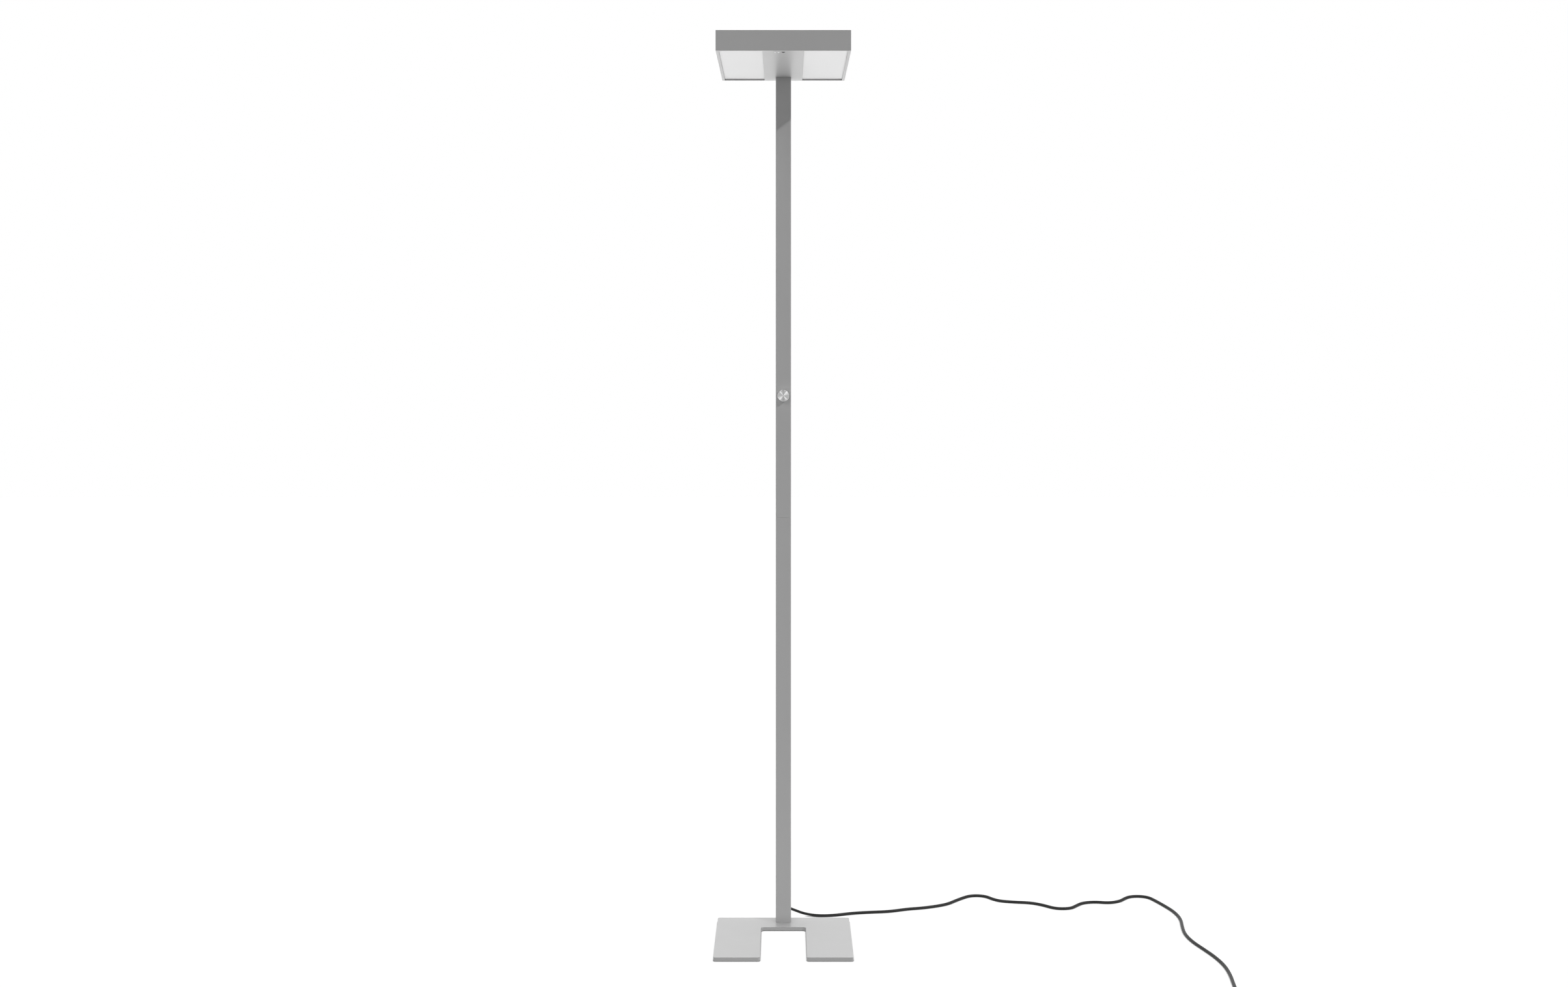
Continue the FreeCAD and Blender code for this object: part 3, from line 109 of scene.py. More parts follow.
@dataclass(frozen=True)
class Finish:
    """A surface as it is made: its two close colours, how it shines, and the size of its grain.

    The sizes of grain, cloud and bump_depth are in millimetres.
    """

    name: str
    colour: str
    shade: str
    roughness: float
    metallic: float = 0.0
    ior: float = 1.5
    grain: float = 1.0
    cloud: float = 60.0
    bump: float = 0.15
    bump_depth: float = 0.05
    roughness_spread: float = 0.06
    coat: float = 0.0

    def make(self) -> bpy.types.Material:
        """Makes the material.

        Returns:
            The material, its pattern on the piece's own coordinates in metres.
        """
        material = bpy.data.materials.new(self.name)
        material.use_nodes = True
        tree = material.node_tree
        tree.nodes.clear()
        place = add_node(tree, "ShaderNodeTexCoord").outputs["Object"]
        grain, cloud = (
            add_node(
                tree, "ShaderNodeTexNoise", Vector=place, Scale=1 / (size * MM), Detail=detail
            ).outputs["Fac"]
            for size, detail in ((self.grain, GRAIN_DETAIL), (self.cloud, CLOUD_DETAIL))
        )
        mixed = add_node(
            tree,
            "ShaderNodeMix",
            {"data_type": "RGBA"},
            _0=cloud,
            _6=linear(self.shade),
            _7=linear(self.colour),
        )
        shine = add_node(
            tree,
            "ShaderNodeMapRange",
            Value=grain,
            To_Min=self.roughness - self.roughness_spread,
            To_Max=self.roughness + self.roughness_spread,
        )
        relief = add_node(
            tree,
            "ShaderNodeBump",
            Height=self.relief(tree, place, grain),
            Strength=self.bump,
            Distance=self.bump_depth * MM,
        )
        shader = add_node(
            tree,
            "ShaderNodeBsdfPrincipled",
            Base_Color=mixed.outputs[2],
            Roughness=shine.outputs["Result"],
            Normal=relief.outputs["Normal"],
            Metallic=self.metallic,
            IOR=self.ior,
            Coat_Weight=self.coat,
        )
        self.extend(tree, shader)
        out = add_node(tree, "ShaderNodeOutputMaterial", Surface=shader.outputs["BSDF"])
        out.is_active_output = True
        return material

    def relief(
        self, tree: bpy.types.NodeTree, place: bpy.types.NodeSocket, grain: bpy.types.NodeSocket
    ) -> bpy.types.NodeSocket:
        """Chooses what the surface's relief follows.

        Args:
            tree: the node tree.
            place: the piece's own coordinates.
            grain: the finish's grain.

        Returns:
            The relief's height; here the grain.
        """
        return grain

    def extend(self, tree: bpy.types.NodeTree, shader: bpy.types.Node) -> None:
        """Sets what only some finishes have; here nothing.

        Args:
            tree: the node tree.
            shader: the surface's shader.
        """


@dataclass(frozen=True)
class TurnedMetal(Finish):
    """Turned metal with a sunray-brushed face, whose strokes smear each light into a ray."""

    centre: Point = (0.0, 0.0, 0.0)
    strokes: float = 14.0
    smear: float = 1.0

    def relief(
        self, tree: bpy.types.NodeTree, place: bpy.types.NodeSocket, grain: bpy.types.NodeSocket
    ) -> bpy.types.NodeSocket:
        """Draws the strokes, which change only with the angle about the axis.

        Args:
            tree: the node tree.
            place: the piece's own coordinates.
            grain: the finish's grain, not used here.

        Returns:
            The strokes' height.
        """
        to_centre = [-c for c in self.centre]
        moved = add_node(tree, "ShaderNodeMapping", Vector=place, Location=to_centre)
        parts = add_node(tree, "ShaderNodeSeparateXYZ", Vector=moved.outputs["Vector"])
        turn = add_node(
            tree,
            "ShaderNodeMath",
            {"operation": "ARCTAN2"},
            _0=parts.outputs["Z"],
            _1=parts.outputs["X"],
        )
        strokes = add_node(
            tree,
            "ShaderNodeTexNoise",
            {"noise_dimensions": "1D"},
            W=turn.outputs["Value"],
            Scale=self.strokes,
            Detail=GRAIN_DETAIL,
        )
        return strokes.outputs["Fac"]

    def extend(self, tree: bpy.types.NodeTree, shader: bpy.types.Node) -> None:
        """Spreads the shine across the strokes.

        Args:
            tree: the node tree.
            shader: the surface's shader.
        """
        shader.inputs["Anisotropic"].default_value = self.smear
        around = {"direction_type": "RADIAL", "axis": "Y"}
        tangent = add_node(tree, "ShaderNodeTangent", around)
        tree.links.new(tangent.outputs["Tangent"], shader.inputs["Tangent"])


@dataclass(frozen=True)
class CastAcrylic(Finish):
    """Cast acrylic sheet or a moulded lens, clear to milky."""

    clear: float = 1.0
    depth: float = 0.0
    # A painted glow: emission that stands in for highlights; no lamp is behind it.
    glow: float = 0.0
    scatter: Point = (0.01, 0.01, 0.01)
    scatter_scale: float = 0.3

    def extend(self, tree: bpy.types.NodeTree, shader: bpy.types.Node) -> None:
        """Lets light into the sheet, and gives it any painted glow.

        Args:
            tree: the node tree.
            shader: the surface's shader.
        """
        # The emission is the painted glow.
        shader.inputs["Emission Color"].default_value = linear(self.colour)
        shader.inputs["Emission Strength"].default_value = self.glow
        shader.inputs["Transmission Weight"].default_value = self.clear
        shader.inputs["Subsurface Weight"].default_value = self.depth
        shader.inputs["Subsurface Radius"].default_value = self.scatter
        shader.inputs["Subsurface Scale"].default_value = self.scatter_scale


# Polyester powder, baked on steel. It flows out to a faint orange peel and stays satin.
POWDER = Finish(
    "silver_powder_coat", "#BEBEBE", "#BABABA", 0.38, metallic=0.1, grain=0.9, bump=0.22,
    bump_depth=0.04,
)
# The same coating in white, on the sheet steel inside the head: even and nearly matt.
WHITE_POWDER = Finish("white_powder_coat", "#EDEDED", "#E8E8E8", 0.5, grain=0.9, bump=0.2)
# Zinc-plated steel screws: bright, with a crystalline haze.
ZINC = Finish(
    "zinc_plated_steel", "#C2C2C3", "#ADADAE", 0.32, metallic=1.0, grain=0.6, cloud=5.0
)
# Die-cast and extruded aluminium, left plain: a dull, cloudy metal.
PLAIN_ALUMINIUM = Finish(
    "plain_aluminium", "#C8C8C8", "#B9B9B9", 0.42, metallic=1.0, grain=0.5, cloud=20.0
)
# Nickel over brass: the brightest small metal, a little warm.
NICKEL = Finish(
    "nickel_plated_brass", "#CFCCC2", "#BDB9AE", 0.2, metallic=1.0, grain=0.8, cloud=4.0
)
# Turned from bar and brushed outwards: two lights show as a bright cross on the knob's face.
TURNED = TurnedMetal(
    "turned_aluminium", "#EAEAEA", "#E2E2E2", 0.31, metallic=1.0, grain=0.4, cloud=6.0,
    bump=0.3, bump_depth=0.01, centre=(0.0, 0.171, KNOB_HEIGHT),
)
# Nitrile pads, moulded dull.
RUBBER = Finish("moulded_rubber", "#262626", "#1D1D1D", 0.8, grain=0.7, cloud=8.0, bump=0.4)
# Glass-filled nylon for gland and housings: dark and slightly speckled.
NYLON = Finish("moulded_nylon", "#313131", "#292929", 0.55, grain=0.4, cloud=6.0, bump=0.3)
# Soft PVC sheath, extruded: smooth and dark, with a broad dull shine along the lead.
SHEATH = Finish(
    "pvc_sheath", "#222222", "#1C1C1C", 0.55, ior=1.45, grain=1.2, cloud=25.0, bump=0.2
)
# The flat lead in the pole is the same soft plastic in mid grey.
RIBBON = Finish("flat_pvc_lead", "#909090", "#878787", 0.5, grain=1.0, cloud=10.0)
# White solder mask over the boards' glass fibre weave.
BOARD = Finish(
    "white_circuit_board", "#E9E8E2", "#E2E1DA", 0.35, grain=0.5, cloud=15.0, coat=0.2
)
# Yellow phosphor makes the chips the only coloured dots in the head.
PHOSPHOR = Finish("chip_phosphor", "#E8D77A", "#DFCB66", 0.3, grain=0.3, cloud=2.0)
# Moulded white housings: as white as the coated steel that they sit on, but smoother.
WHITE_ABS = Finish("white_abs", "#ECECEC", "#E7E7E7", 0.4, grain=0.5, cloud=12.0)
# Opal acrylic: light goes a little way in and comes out even, so the panel reads as white.
OPAL = CastAcrylic(
    "opal_acrylic", "#F7F7F7", "#F5F5F5", 0.38, ior=1.49, grain=0.5, bump=0.1, clear=0.0,
    depth=0.3,
)
# Clear acrylic over the uplight: the boards show through under a soft reflection.
CLEAR = CastAcrylic(
    "clear_acrylic", "#F8F8F8", "#F5F5F5", 0.12, ior=1.49, grain=0.8, bump=0.05,
    roughness_spread=0.02,
)
# Smoked acrylic over the sensor: a dark glossy dot.
SMOKED = CastAcrylic(
    "smoked_lens", "#262626", "#1F1F1F", 0.18, ior=1.49, grain=0.5, bump=0.02, clear=0.15
)
# The signal lenses: milky acrylic with a painted glow, no lamp behind them, that stands in for
# their highlights and makes them the spine's brightest dots.
MILKY_PAINTED_GLOW = CastAcrylic(
    "milky_lens_painted_glow", "#F8F8F8", "#F4F4F4", 0.18, ior=1.49, grain=0.5, bump=0.02, clear=0.0,
    depth=0.3, glow=0.42,
)

DRESS: tuple[tuple[Finish, tuple[str, ...]], ...] = (
    (POWDER, ("base_plate", "lower_pole_tube", "upper_pole_tube", "head_frame", "spine_cover")),
    (WHITE_POWDER, ("upper_corner_posts", "chassis_plate")),
    (RUBBER, ("floor_glides",)),
    (ZINC, ("base_screws", "foot_plug", "joint_screws", "pole_clamp_screws", "bracket_screws")),
    (PLAIN_ALUMINIUM, ("joint_sleeve", "lower_corner_posts", "head_bracket")),
    (NYLON, ("cable_gland", "sensor_housing", "cord_tie")),
    (SHEATH, ("pole_cable", "plug_body")),
    (NICKEL, ("encoder_housing", "encoder_nut", "encoder_shaft", "switch_plunger")),
    (NICKEL, ("plug_pins", "plug_earth_strips")),
    (TURNED, ("knob_body", "knob_face")),
    (RIBBON, ("control_ribbon",)),
    (BOARD, ("encoder_board", "downlight_board_left", "downlight_board_right")),
    (BOARD, ("uplight_board_left", "uplight_board_right")),
    (PHOSPHOR, ("downlight_chips", "uplight_chips")),
    (OPAL, ("diffuser_left", "diffuser_right")),
    (WHITE_ABS, ("reflector_left", "reflector_right", "driver", "terminal_block")),
    (CLEAR, ("top_cover",)),
    (SMOKED, ("sensor_lens",)),
    (MILKY_PAINTED_GLOW, ("indicator_lenses",)),
)


class Wardrobe:
    """Makes each finish once and hands it out."""

    def __init__(self) -> None:
        """Starts empty."""
        self.made: dict[str, bpy.types.Material] = {}

    def get(self, finish: Finish) -> bpy.types.Material:
        """Gives the material of a finish.

        Args:
            finish: the finish.

        Returns:
            Its material, made on first use.
        """
        if finish.name not in self.made:
            self.made[finish.name] = finish.make()
        return self.made[finish.name]

    def dress(self, piece: bpy.types.Object, finish: Finish) -> None:
        """Puts a finish on all of a piece.

        Args:
            piece: the piece or frame node.
            finish: what it is finished in.
        """
        material = self.get(finish)
        if not piece.material_slots:
            piece.data.materials.append(material)
        for slot in piece.material_slots:
            slot.material = material


# ---------------------------------------------------------------- workbench

# Edges up to this many degrees look smooth: on any piece, and on one fresh from the lathe.
SMOOTH_UP_TO = 35.0
TURNED_SMOOTH_UP_TO = 30.0
ROUND_EDGE_STEPS = 3
WELD = 1e-6
# An element whose direction has this share of an axis counts as lying along it.
ALONG = 0.9


class Axis(Enum):
    """Which way a turned piece's axis points, as the turn of an upright one."""

    UP = (0.0, 0.0, 0.0)
    BACK = (-math.pi / 2, 0.0, 0.0)
    LEFT = (0.0, -math.pi / 2, 0.0)


class Bench:
    """Modelling steps that several pieces share."""

    @staticmethod
    def clear() -> None:
        """Leaves nothing selected, in object mode."""
        if bpy.context.mode != "OBJECT":
            bpy.ops.object.mode_set(mode="OBJECT")
        bpy.ops.object.select_all(action="DESELECT")

    @staticmethod
    def pick(piece: bpy.types.Object, kind: str, test: Callable[[object], bool]) -> None:
        """Selects, in edit mode, only the faces, edges or vertices that a test accepts.

        Args:
            piece: the piece in edit mode.
            kind: "faces", "edges" or "verts".
            test: says whether an element is wanted.
        """
        mode = {"faces": "FACE", "edges": "EDGE", "verts": "VERT"}[kind]
        bpy.ops.mesh.select_mode(type=mode)
        bpy.ops.mesh.select_all(action="DESELECT")
        mesh = bmesh.from_edit_mesh(piece.data)
        for element in getattr(mesh, kind):
            element.select_set(bool(test(element)))
        mesh.select_flush_mode()
        bmesh.update_edit_mesh(piece.data)

    @staticmethod
    def settle(
        piece: bpy.types.Object, name: str, angle: float = SMOOTH_UP_TO
    ) -> bpy.types.Object:
        """Names a piece, puts its place into its mesh and smooths it up to an angle.

        Args:
            piece: the piece.
            name: its name.
            angle: edges up to this many degrees look smooth.

        Returns:
            The piece.
        """
        Bench.clear()
        piece.select_set(True)
        bpy.context.view_layer.objects.active = piece
        bpy.ops.object.transform_apply(location=True, rotation=True, scale=True)
        bpy.ops.object.shade_smooth_by_angle(angle=math.radians(angle))
        piece.name = name
        piece.data.name = name
        return piece

    @staticmethod
    def apply(piece: bpy.types.Object, kind: str, **settings: object) -> None:
        """Adds a modifier to a piece and applies it.

        Args:
            piece: the piece.
            kind: the modifier's type, such as "BEVEL".
            settings: its settings.
        """
        Bench.clear()
        bpy.context.view_layer.objects.active = piece
        piece.select_set(True)
        modifier = piece.modifiers.new(kind.lower(), kind)
        for key, setting in settings.items():
            setattr(modifier, key, setting)
        bpy.ops.object.modifier_apply(modifier=modifier.name)

    @staticmethod
    def cut(piece: bpy.types.Object, cutter: bpy.types.Object) -> None:
        """Cuts one piece out of another and throws it away.

        Args:
            piece: what is cut.
            cutter: what is taken out of it.
        """
        Bench.apply(piece, "BOOLEAN", operation="DIFFERENCE", object=cutter, solver="EXACT")
        bpy.data.objects.remove(cutter)

    @staticmethod
    def block(name: str, low: Point, high: Point, bevel: float = 0.0) -> bpy.types.Object:
        """A block between two corners, with rounded edges.

        Args:
            name: its name.
            low: its lowest corner in metres.
            high: its highest corner.
            bevel: how far its edges are rounded.

        Returns:
            The block, its place in its mesh.
        """
        Bench.clear()
        middle = [(a + b) / 2 for a, b in zip(low, high)]
        size = [b - a for a, b in zip(low, high)]
        bpy.ops.mesh.primitive_cube_add(size=1, location=middle, scale=size)
        piece = Bench.settle(bpy.context.active_object, name)
        if bevel:
            Bench.apply(
                piece, "BEVEL", width=bevel, segments=ROUND_EDGE_STEPS, limit_method="ANGLE"
            )
        return piece

    @staticmethod
    def turned(
        name: str, profile: Sequence[Pair], place: Point, axis: Axis = Axis.UP, steps: int = 72
    ) -> bpy.types.Object:
        """Turns a closed outline about an axis, as on a lathe.

        Args:
            name: the piece's name.
            profile: (radius, distance along the axis) of each corner, in metres.
            place: where the axis starts.
            axis: which way it points.
            steps: facets round the piece.

        Returns:
            The piece, its place in its mesh.
        """
        Bench.clear()
        bpy.ops.mesh.primitive_plane_add(size=MM)
        piece = bpy.context.active_object
        bpy.ops.object.mode_set(mode="EDIT")
        bpy.ops.mesh.select_mode(type="VERT")
        bpy.ops.mesh.select_all(action="SELECT")
        bpy.ops.mesh.merge(type="CENTER")
        at = Vector((profile[0][0], 0.0, profile[0][1]))
        bpy.ops.transform.translate(value=at)
        for radius, along in [*profile[1:], profile[0]]:
            to = Vector((radius, 0.0, along))
            bpy.ops.mesh.extrude_region_move(TRANSFORM_OT_translate={"value": to - at})
            at = to
        bpy.ops.mesh.select_all(action="SELECT")
        bpy.ops.mesh.spin(steps=steps, angle=math.tau, center=(0, 0, 0), axis=(0, 0, 1))
        bpy.ops.mesh.select_all(action="SELECT")
        bpy.ops.mesh.remove_doubles(threshold=WELD)
        bpy.ops.mesh.select_all(action="SELECT")
        bpy.ops.mesh.normals_make_consistent(inside=False)
        bpy.ops.object.mode_set(mode="OBJECT")
        piece.rotation_euler = axis.value
        piece.location = place
        return Bench.settle(piece, name, TURNED_SMOOTH_UP_TO)

    @staticmethod
    def copy(piece: bpy.types.Object, name: str, step: Point) -> bpy.types.Object:
        """A copy of a piece with its own mesh, moved by a step.

        Args:
            piece: what is copied.
            name: the copy's name.
            step: how far it is moved, in metres.

        Returns:
            The copy, its place in its mesh.
        """
        twin = piece.copy()
        twin.data = piece.data.copy()
        bpy.context.scene.collection.objects.link(twin)
        twin.location = step
        return Bench.settle(twin, name)


# ---------------------------------------------------------------- the lamp's pieces


@dataclass
class DimmerKnob:
    """The turned knob: a ring round a face plate that sits a hair's breadth behind it.

    Distances along the axis count from the ring's front.
    """

    wardrobe: Wardrobe
    front: float = 0.166
    steps: int = 96
    radius: float = 0.01325
    depth: float = 0.010
    rim: float = 0.0012
    hollow: float = 0.010
    hub: float = 0.0065
    seat: float = 0.00125
    shaft: float = 0.003
    inner_edge: float = 0.0002
    front_edge: float = 0.0005
    back_edge: float = 0.0004
    face_radius: float = 0.0117
    recess: float = 0.00025
    dish: float = 0.0001
    face_edge: Pair = (0.0003, 0.0002)

    def ring(self) -> list[Pair]:
        """The ring's outline, from the seat outwards and round to the hub.

        Returns:
            Its corners.
        """
        inner, outer, edge = self.radius - self.rim, self.radius, self.front_edge
        return [
            (self.shaft, self.seat),
            (inner, self.seat),
            (inner, self.inner_edge),
            (inner + self.inner_edge, 0.0),
            (outer - edge, 0.0),
            (outer - 0.4 * edge, 0.2 * edge),
            (outer, edge),
            (outer, self.depth - self.back_edge),
            (outer - self.back_edge, self.depth),
            (self.hollow, self.depth),
            (self.hollow, self.hub),
            (self.shaft, self.hub),
        ]

    def plate(self) -> list[Pair]:
        """The face plate's outline, very slightly dished.

        Returns:
            Its corners.
        """
        inwards, back = self.face_edge
        return [
            (0.0, self.recess + self.dish),
            (self.face_radius * 0.5, self.recess + 0.4 * self.dish),
            (self.face_radius - inwards, self.recess),
            (self.face_radius, self.recess + back),
            (self.face_radius, self.seat),
            (0.0, self.seat),
        ]

    def build(self) -> Pieces:
        """Makes the ring and the face plate.

        Returns:
            Both pieces.
        """
        place = (0.0, self.front, KNOB_HEIGHT)
        ring = Bench.turned("knob_ring", self.ring(), place, Axis.BACK, self.steps)
        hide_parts("knob_body")
        plate = Bench.turned("knob_plate", self.plate(), place, Axis.BACK, self.steps)
        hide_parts("knob_face")
        for piece in (ring, plate):
            self.wardrobe.dress(piece, TURNED)
            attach(piece, "knob")
        return [ring, plate]


@dataclass
class PoleScrews:
    """The button-head screws in the pole's back, at the seam and under the head.

    The dome is (share of the head's radius, height) from its edge inwards.
    """

    wardrobe: Wardrobe
    seam: float = 0.9281
    underside: float = 1.9256
    edge: float = 0.020
    pitch: float = 0.030
    head: float = 0.00475
    height: float = 0.0024
    dome: Sequence[Pair] = ((1.0, 0.0004), (0.93, 0.0011), (0.78, 0.0018), (0.55, 0.0023))
    crown: float = 0.42
    stem: float = 0.0025
    reach: float = 0.0045
    key: float = 0.0015
    key_depth: float = 0.0015
    steps: int = 40

    def first_screw(self, height: float) -> bpy.types.Object:
        """Turns the lowest screw and cuts its hexagon socket.

        Args:
            height: where it sits.

        Returns:
            The screw.
        """
        screw = Bench.turned(
            "joint_screw_1",
            [
                (0.0, -self.reach),
                (self.stem, -self.reach),
                (self.stem, 0.0),
                (self.head, 0.0),
                *((self.head * share, up) for share, up in self.dome),
                (self.head * self.crown, self.height),
                (0.0, self.height),
            ],
            (0.0, POLE_BACK, height),
            Axis.BACK,
            self.steps,
        )
        Bench.clear()
        bpy.ops.mesh.primitive_cylinder_add(
            vertices=6,
            radius=self.key,
            depth=2 * self.key_depth,
            location=(0, POLE_BACK + self.height, height),
            rotation=(math.pi / 2, 0, 0),
        )
        Bench.cut(screw, Bench.settle(bpy.context.active_object, "socket_cutter"))
        return Bench.settle(screw, "joint_screw_1")

    def build(self) -> Pieces:
        """Makes the lowest screw and copies it to the other places.

        Returns:
            All the screws.
        """
        first = self.seam - self.edge - self.pitch
        screw = self.first_screw(first)
        at_seam = (
            self.seam - self.edge,
            self.seam + self.edge,
            self.seam + self.edge + self.pitch,
        )
        at_head = (self.underside - self.edge, self.underside - self.edge - self.pitch)
        joint = [
            screw,
            *(
                Bench.copy(screw, f"joint_screw_{n}", (0, 0, height - first))
                for n, height in enumerate(at_seam, 2)
            ),
        ]
        clamp = [
            Bench.copy(screw, f"clamp_screw_{n}", (0, 0, height - first))
            for n, height in enumerate(at_head, 1)
        ]
        for node, screws in (("joint_screws", joint), ("pole_clamp_screws", clamp)):
            for piece in screws:
                self.wardrobe.dress(piece, ZINC)
                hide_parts(node)
                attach(piece, "lamp")
        return joint + clamp


@dataclass
class FloorGlides:
    """Rubber pads under the base plate, each with a moulded ring that it stands on.

    The underside is (share of the radius, height) from the middle outwards.
    """

    wardrobe: Wardrobe
    radius: float = 0.012
    thickness: float = 0.0025
    underside: Sequence[Pair] = (
        (0.0, 0.0003), (0.52, 0.0003), (0.55, 0.0), (0.95, 0.0), (0.985, 0.0001), (1.0, 0.0005),
    )
    across: float = 0.126
    near: float = -0.072
    far: float = 0.1945

    def build(self) -> Pieces:
        """Makes one pad and its copies.

        Returns:
            The pads.
        """
        pad = Bench.turned(
            "floor_glide_1",
            [
                *((self.radius * share, up) for share, up in self.underside),
                (self.radius, self.thickness),
                (0.0, self.thickness),
            ],
            (-self.across, self.near, 0.0),
        )
        right, back = 2 * self.across, self.far - self.near
        steps = [(0, back, 0), (right, 0, 0), (right, back, 0)]
        pads = [pad, *(Bench.copy(pad, f"floor_glide_{n}", s) for n, s in enumerate(steps, 2))]
        for piece in pads:
            self.wardrobe.dress(piece, RUBBER)
            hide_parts("floor_glides")
            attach(piece, "lamp")
        return pads


@dataclass
class LeadGland:
    """The moulded gland in the pole's back: a flange and a tapered relief with flexing grooves.

    A groove is (share of the grooves' pitch, share of their depth) at each of its corners.
    """

    wardrobe: Wardrobe
    height: float = 0.027
    bore: float = 0.00315
    flange: float = 0.0075
    flange_depth: float = 0.0025
    flange_edge: float = 0.0006
    root: float = 0.0052
    tip: float = 0.0041
    tip_edge: Pair = (0.0004, 0.0006)
    length: float = 0.020
    grooves: int = 5
    groove: Sequence[Pair] = ((0.0, 0.0), (0.55, 0.0), (0.62, 1.0), (0.93, 1.0))
    groove_depth: float = 0.0007
    lead_in: float = 0.3
    spare: float = 0.5
    wall: float = 0.002
    neck: float = 0.0055
    lock: float = 0.0018
    lock_step: float = 0.001
    steps: int = 48

    def build(self) -> Pieces:
        """Turns the gland, its grooves as steps in the taper.

        Returns:
            The gland.
        """
        lock, inside = self.flange - self.lock_step, -self.wall - self.lock
        profile = [
            (self.bore, inside),
            (lock, inside),
            (lock, -self.wall),
            (self.neck, -self.wall),
            (self.neck, 0.0),
            (self.flange, 0.0),
            (self.flange, self.flange_depth - self.flange_edge),
            (self.flange - self.flange_edge, self.flange_depth),
        ]
        eased, back = self.tip_edge
        start, end = self.flange_depth, self.length - back
        pitch = (end - start) / (self.grooves + self.spare)
        for n in range(self.grooves):
            for share, deep in self.groove:
                along = start + pitch * (n + share + self.lead_in)
                outer = self.root + (self.tip - self.root) * (along - start) / (end - start)
                profile.append((outer - deep * self.groove_depth, along))
        profile += [
            (self.tip, end),
            (self.tip - eased, self.length),
            (self.bore, self.length),
        ]
        place = (0.0, POLE_BACK, self.height)
        gland = Bench.turned("lead_gland", profile, place, Axis.BACK, self.steps)
        self.wardrobe.dress(gland, NYLON)
        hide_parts("cable_gland")
        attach(gland, "lamp")
        return [gland]


@dataclass
class MainsLead:
    """The free mains lead: from the gland over the floor in loose waves, a neat coil, its plug.

    All but the stated length is in millimetres. The drop leads from the gland to the floor,
    the waves follow the photograph, and from there the lead goes away to the coil.
    """

    wardrobe: Wardrobe
    diameter: float = 6.0
    length: float = 3.0
    turns: float = 5.25
    pitch: float = 6.6
    outer: float = 41.0
    coil_start: Pair = (920.5, -412.0)
    floor_gap: float = 4.5
    steps: int = 16
    plug_axis: float = 18.5
    tail_start: float = 6.0
    tail_step: float = 15.0
    tail_climb: Sequence[float] = (0.0, 0.075, 0.3, 0.7, 0.925, 1.0, 1.0)
    drop: Sequence[Point] = (
        (0, 232.5, 27), (0.3, 244, 26.8), (4, 256, 24.2), (13, 264.5, 18.5), (28, 267, 12),
        (45, 263.5, 6.6), (65, 258.5, 3.8),
    )
    waves: Sequence[Point] = (
        (89, 255, 3), (120, 260, 3), (157, 277, 3), (200, 286, 3), (247, 292, 3),
        (287, 313, 3), (323, 322, 3), (358, 338, 3), (387, 358, 3), (407, 387, 3),
        (425, 410, 3), (443, 430, 3), (465.5, 434.8, 3), (486, 424.7, 3), (497, 403, 3),
        (514, 384, 3), (545, 375, 3), (584, 369, 3), (611, 349, 3), (632, 322, 3),
        (653, 315.5, 3), (674, 322, 3), (687, 342, 3), (706, 368, 3), (737, 377, 3),
        (769, 367, 3), (796, 382, 3), (810, 404, 3), (823, 421, 3), (840, 428, 3),
        (858.4, 426, 3), (873, 414.5, 3),
    )
    away: Sequence[Point] = (
        (883, 386, 3), (896, 342, 3), (909, 290, 3), (913, 230, 3), (904, 168, 3),
        (898, 106, 3), (903, 45, 3), (917, -14, 3), (930, -74, 3), (937, -137, 3),
        (935, -200, 3), (928, -262, 3), (923, -318, 3), (920.5, -354, 3.3),
        (920.5, -388, 4.5),
    )

    def coil(self) -> list[Point]:
        """The coil: in on the lower layer, up where it is narrowest, out on the upper layer.

        Returns:
            Its points.
        """
        # a spline of this order runs inside its points, so they stand a little further out
        outward = 1 / (0.75 + 0.25 * math.cos(math.tau / self.steps))
        points = []
        for n in range(int(self.turns * self.steps) + 1):
            turn = n / self.steps
            half = turn - self.turns / 2
            radius = self.outer - self.pitch * (self.turns / 2 - abs(half))
            rise = min(max(half * 2 + 0.5, 0.0), 1.0)
            angle = -math.tau * turn
            points.append(
                (
                    self.coil_start[0] - self.outer + radius * outward * math.cos(angle),
                    self.coil_start[1] + radius * outward * math.sin(angle),
                    self.floor_gap + self.pitch * rise,
                )
            )
        return points

    def tail(self) -> list[Point]:
        """The short way from the coil up to the plug's axis.

        Returns:
            Its points.
        """
        x, y = self.coil_start[0] - self.outer, self.coil_start[1] - self.outer
        low = self.floor_gap + self.pitch
        return [
            (
                x - self.tail_start - self.tail_step * n,
                y,
                low + (self.plug_axis - low) * share,
            )
            for n, share in enumerate(self.tail_climb)
        ]

    def build(self) -> Pieces:
        """Lays the lead as one smooth spline.

        Returns:
            The lead.
        """
        Bench.clear()
        curve = bpy.data.curves.new("mains_lead", "CURVE")
        curve.dimensions = "3D"
        curve.bevel_depth = self.diameter / 2 * MM
        curve.bevel_resolution = 5
        curve.resolution_u = 6
        curve.use_fill_caps = True
        spline = curve.splines.new("NURBS")
        points = [*self.drop, *self.waves, *self.away, *self.coil(), *self.tail()]
        spline.points.add(len(points) - 1)
        for point, (x, y, z) in zip(spline.points, points):
            point.co = (x * MM, y * MM, z * MM, 1.0)
        spline.order_u = 3
        spline.use_endpoint_u = True
        lead = bpy.data.objects.new("mains_lead", curve)
        bpy.context.scene.collection.objects.link(lead)
        curve.materials.append(self.wardrobe.get(SHEATH))
        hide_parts("cord_run", "cord_coil", "cord_tail")
        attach(lead, "lamp")
        return [lead]


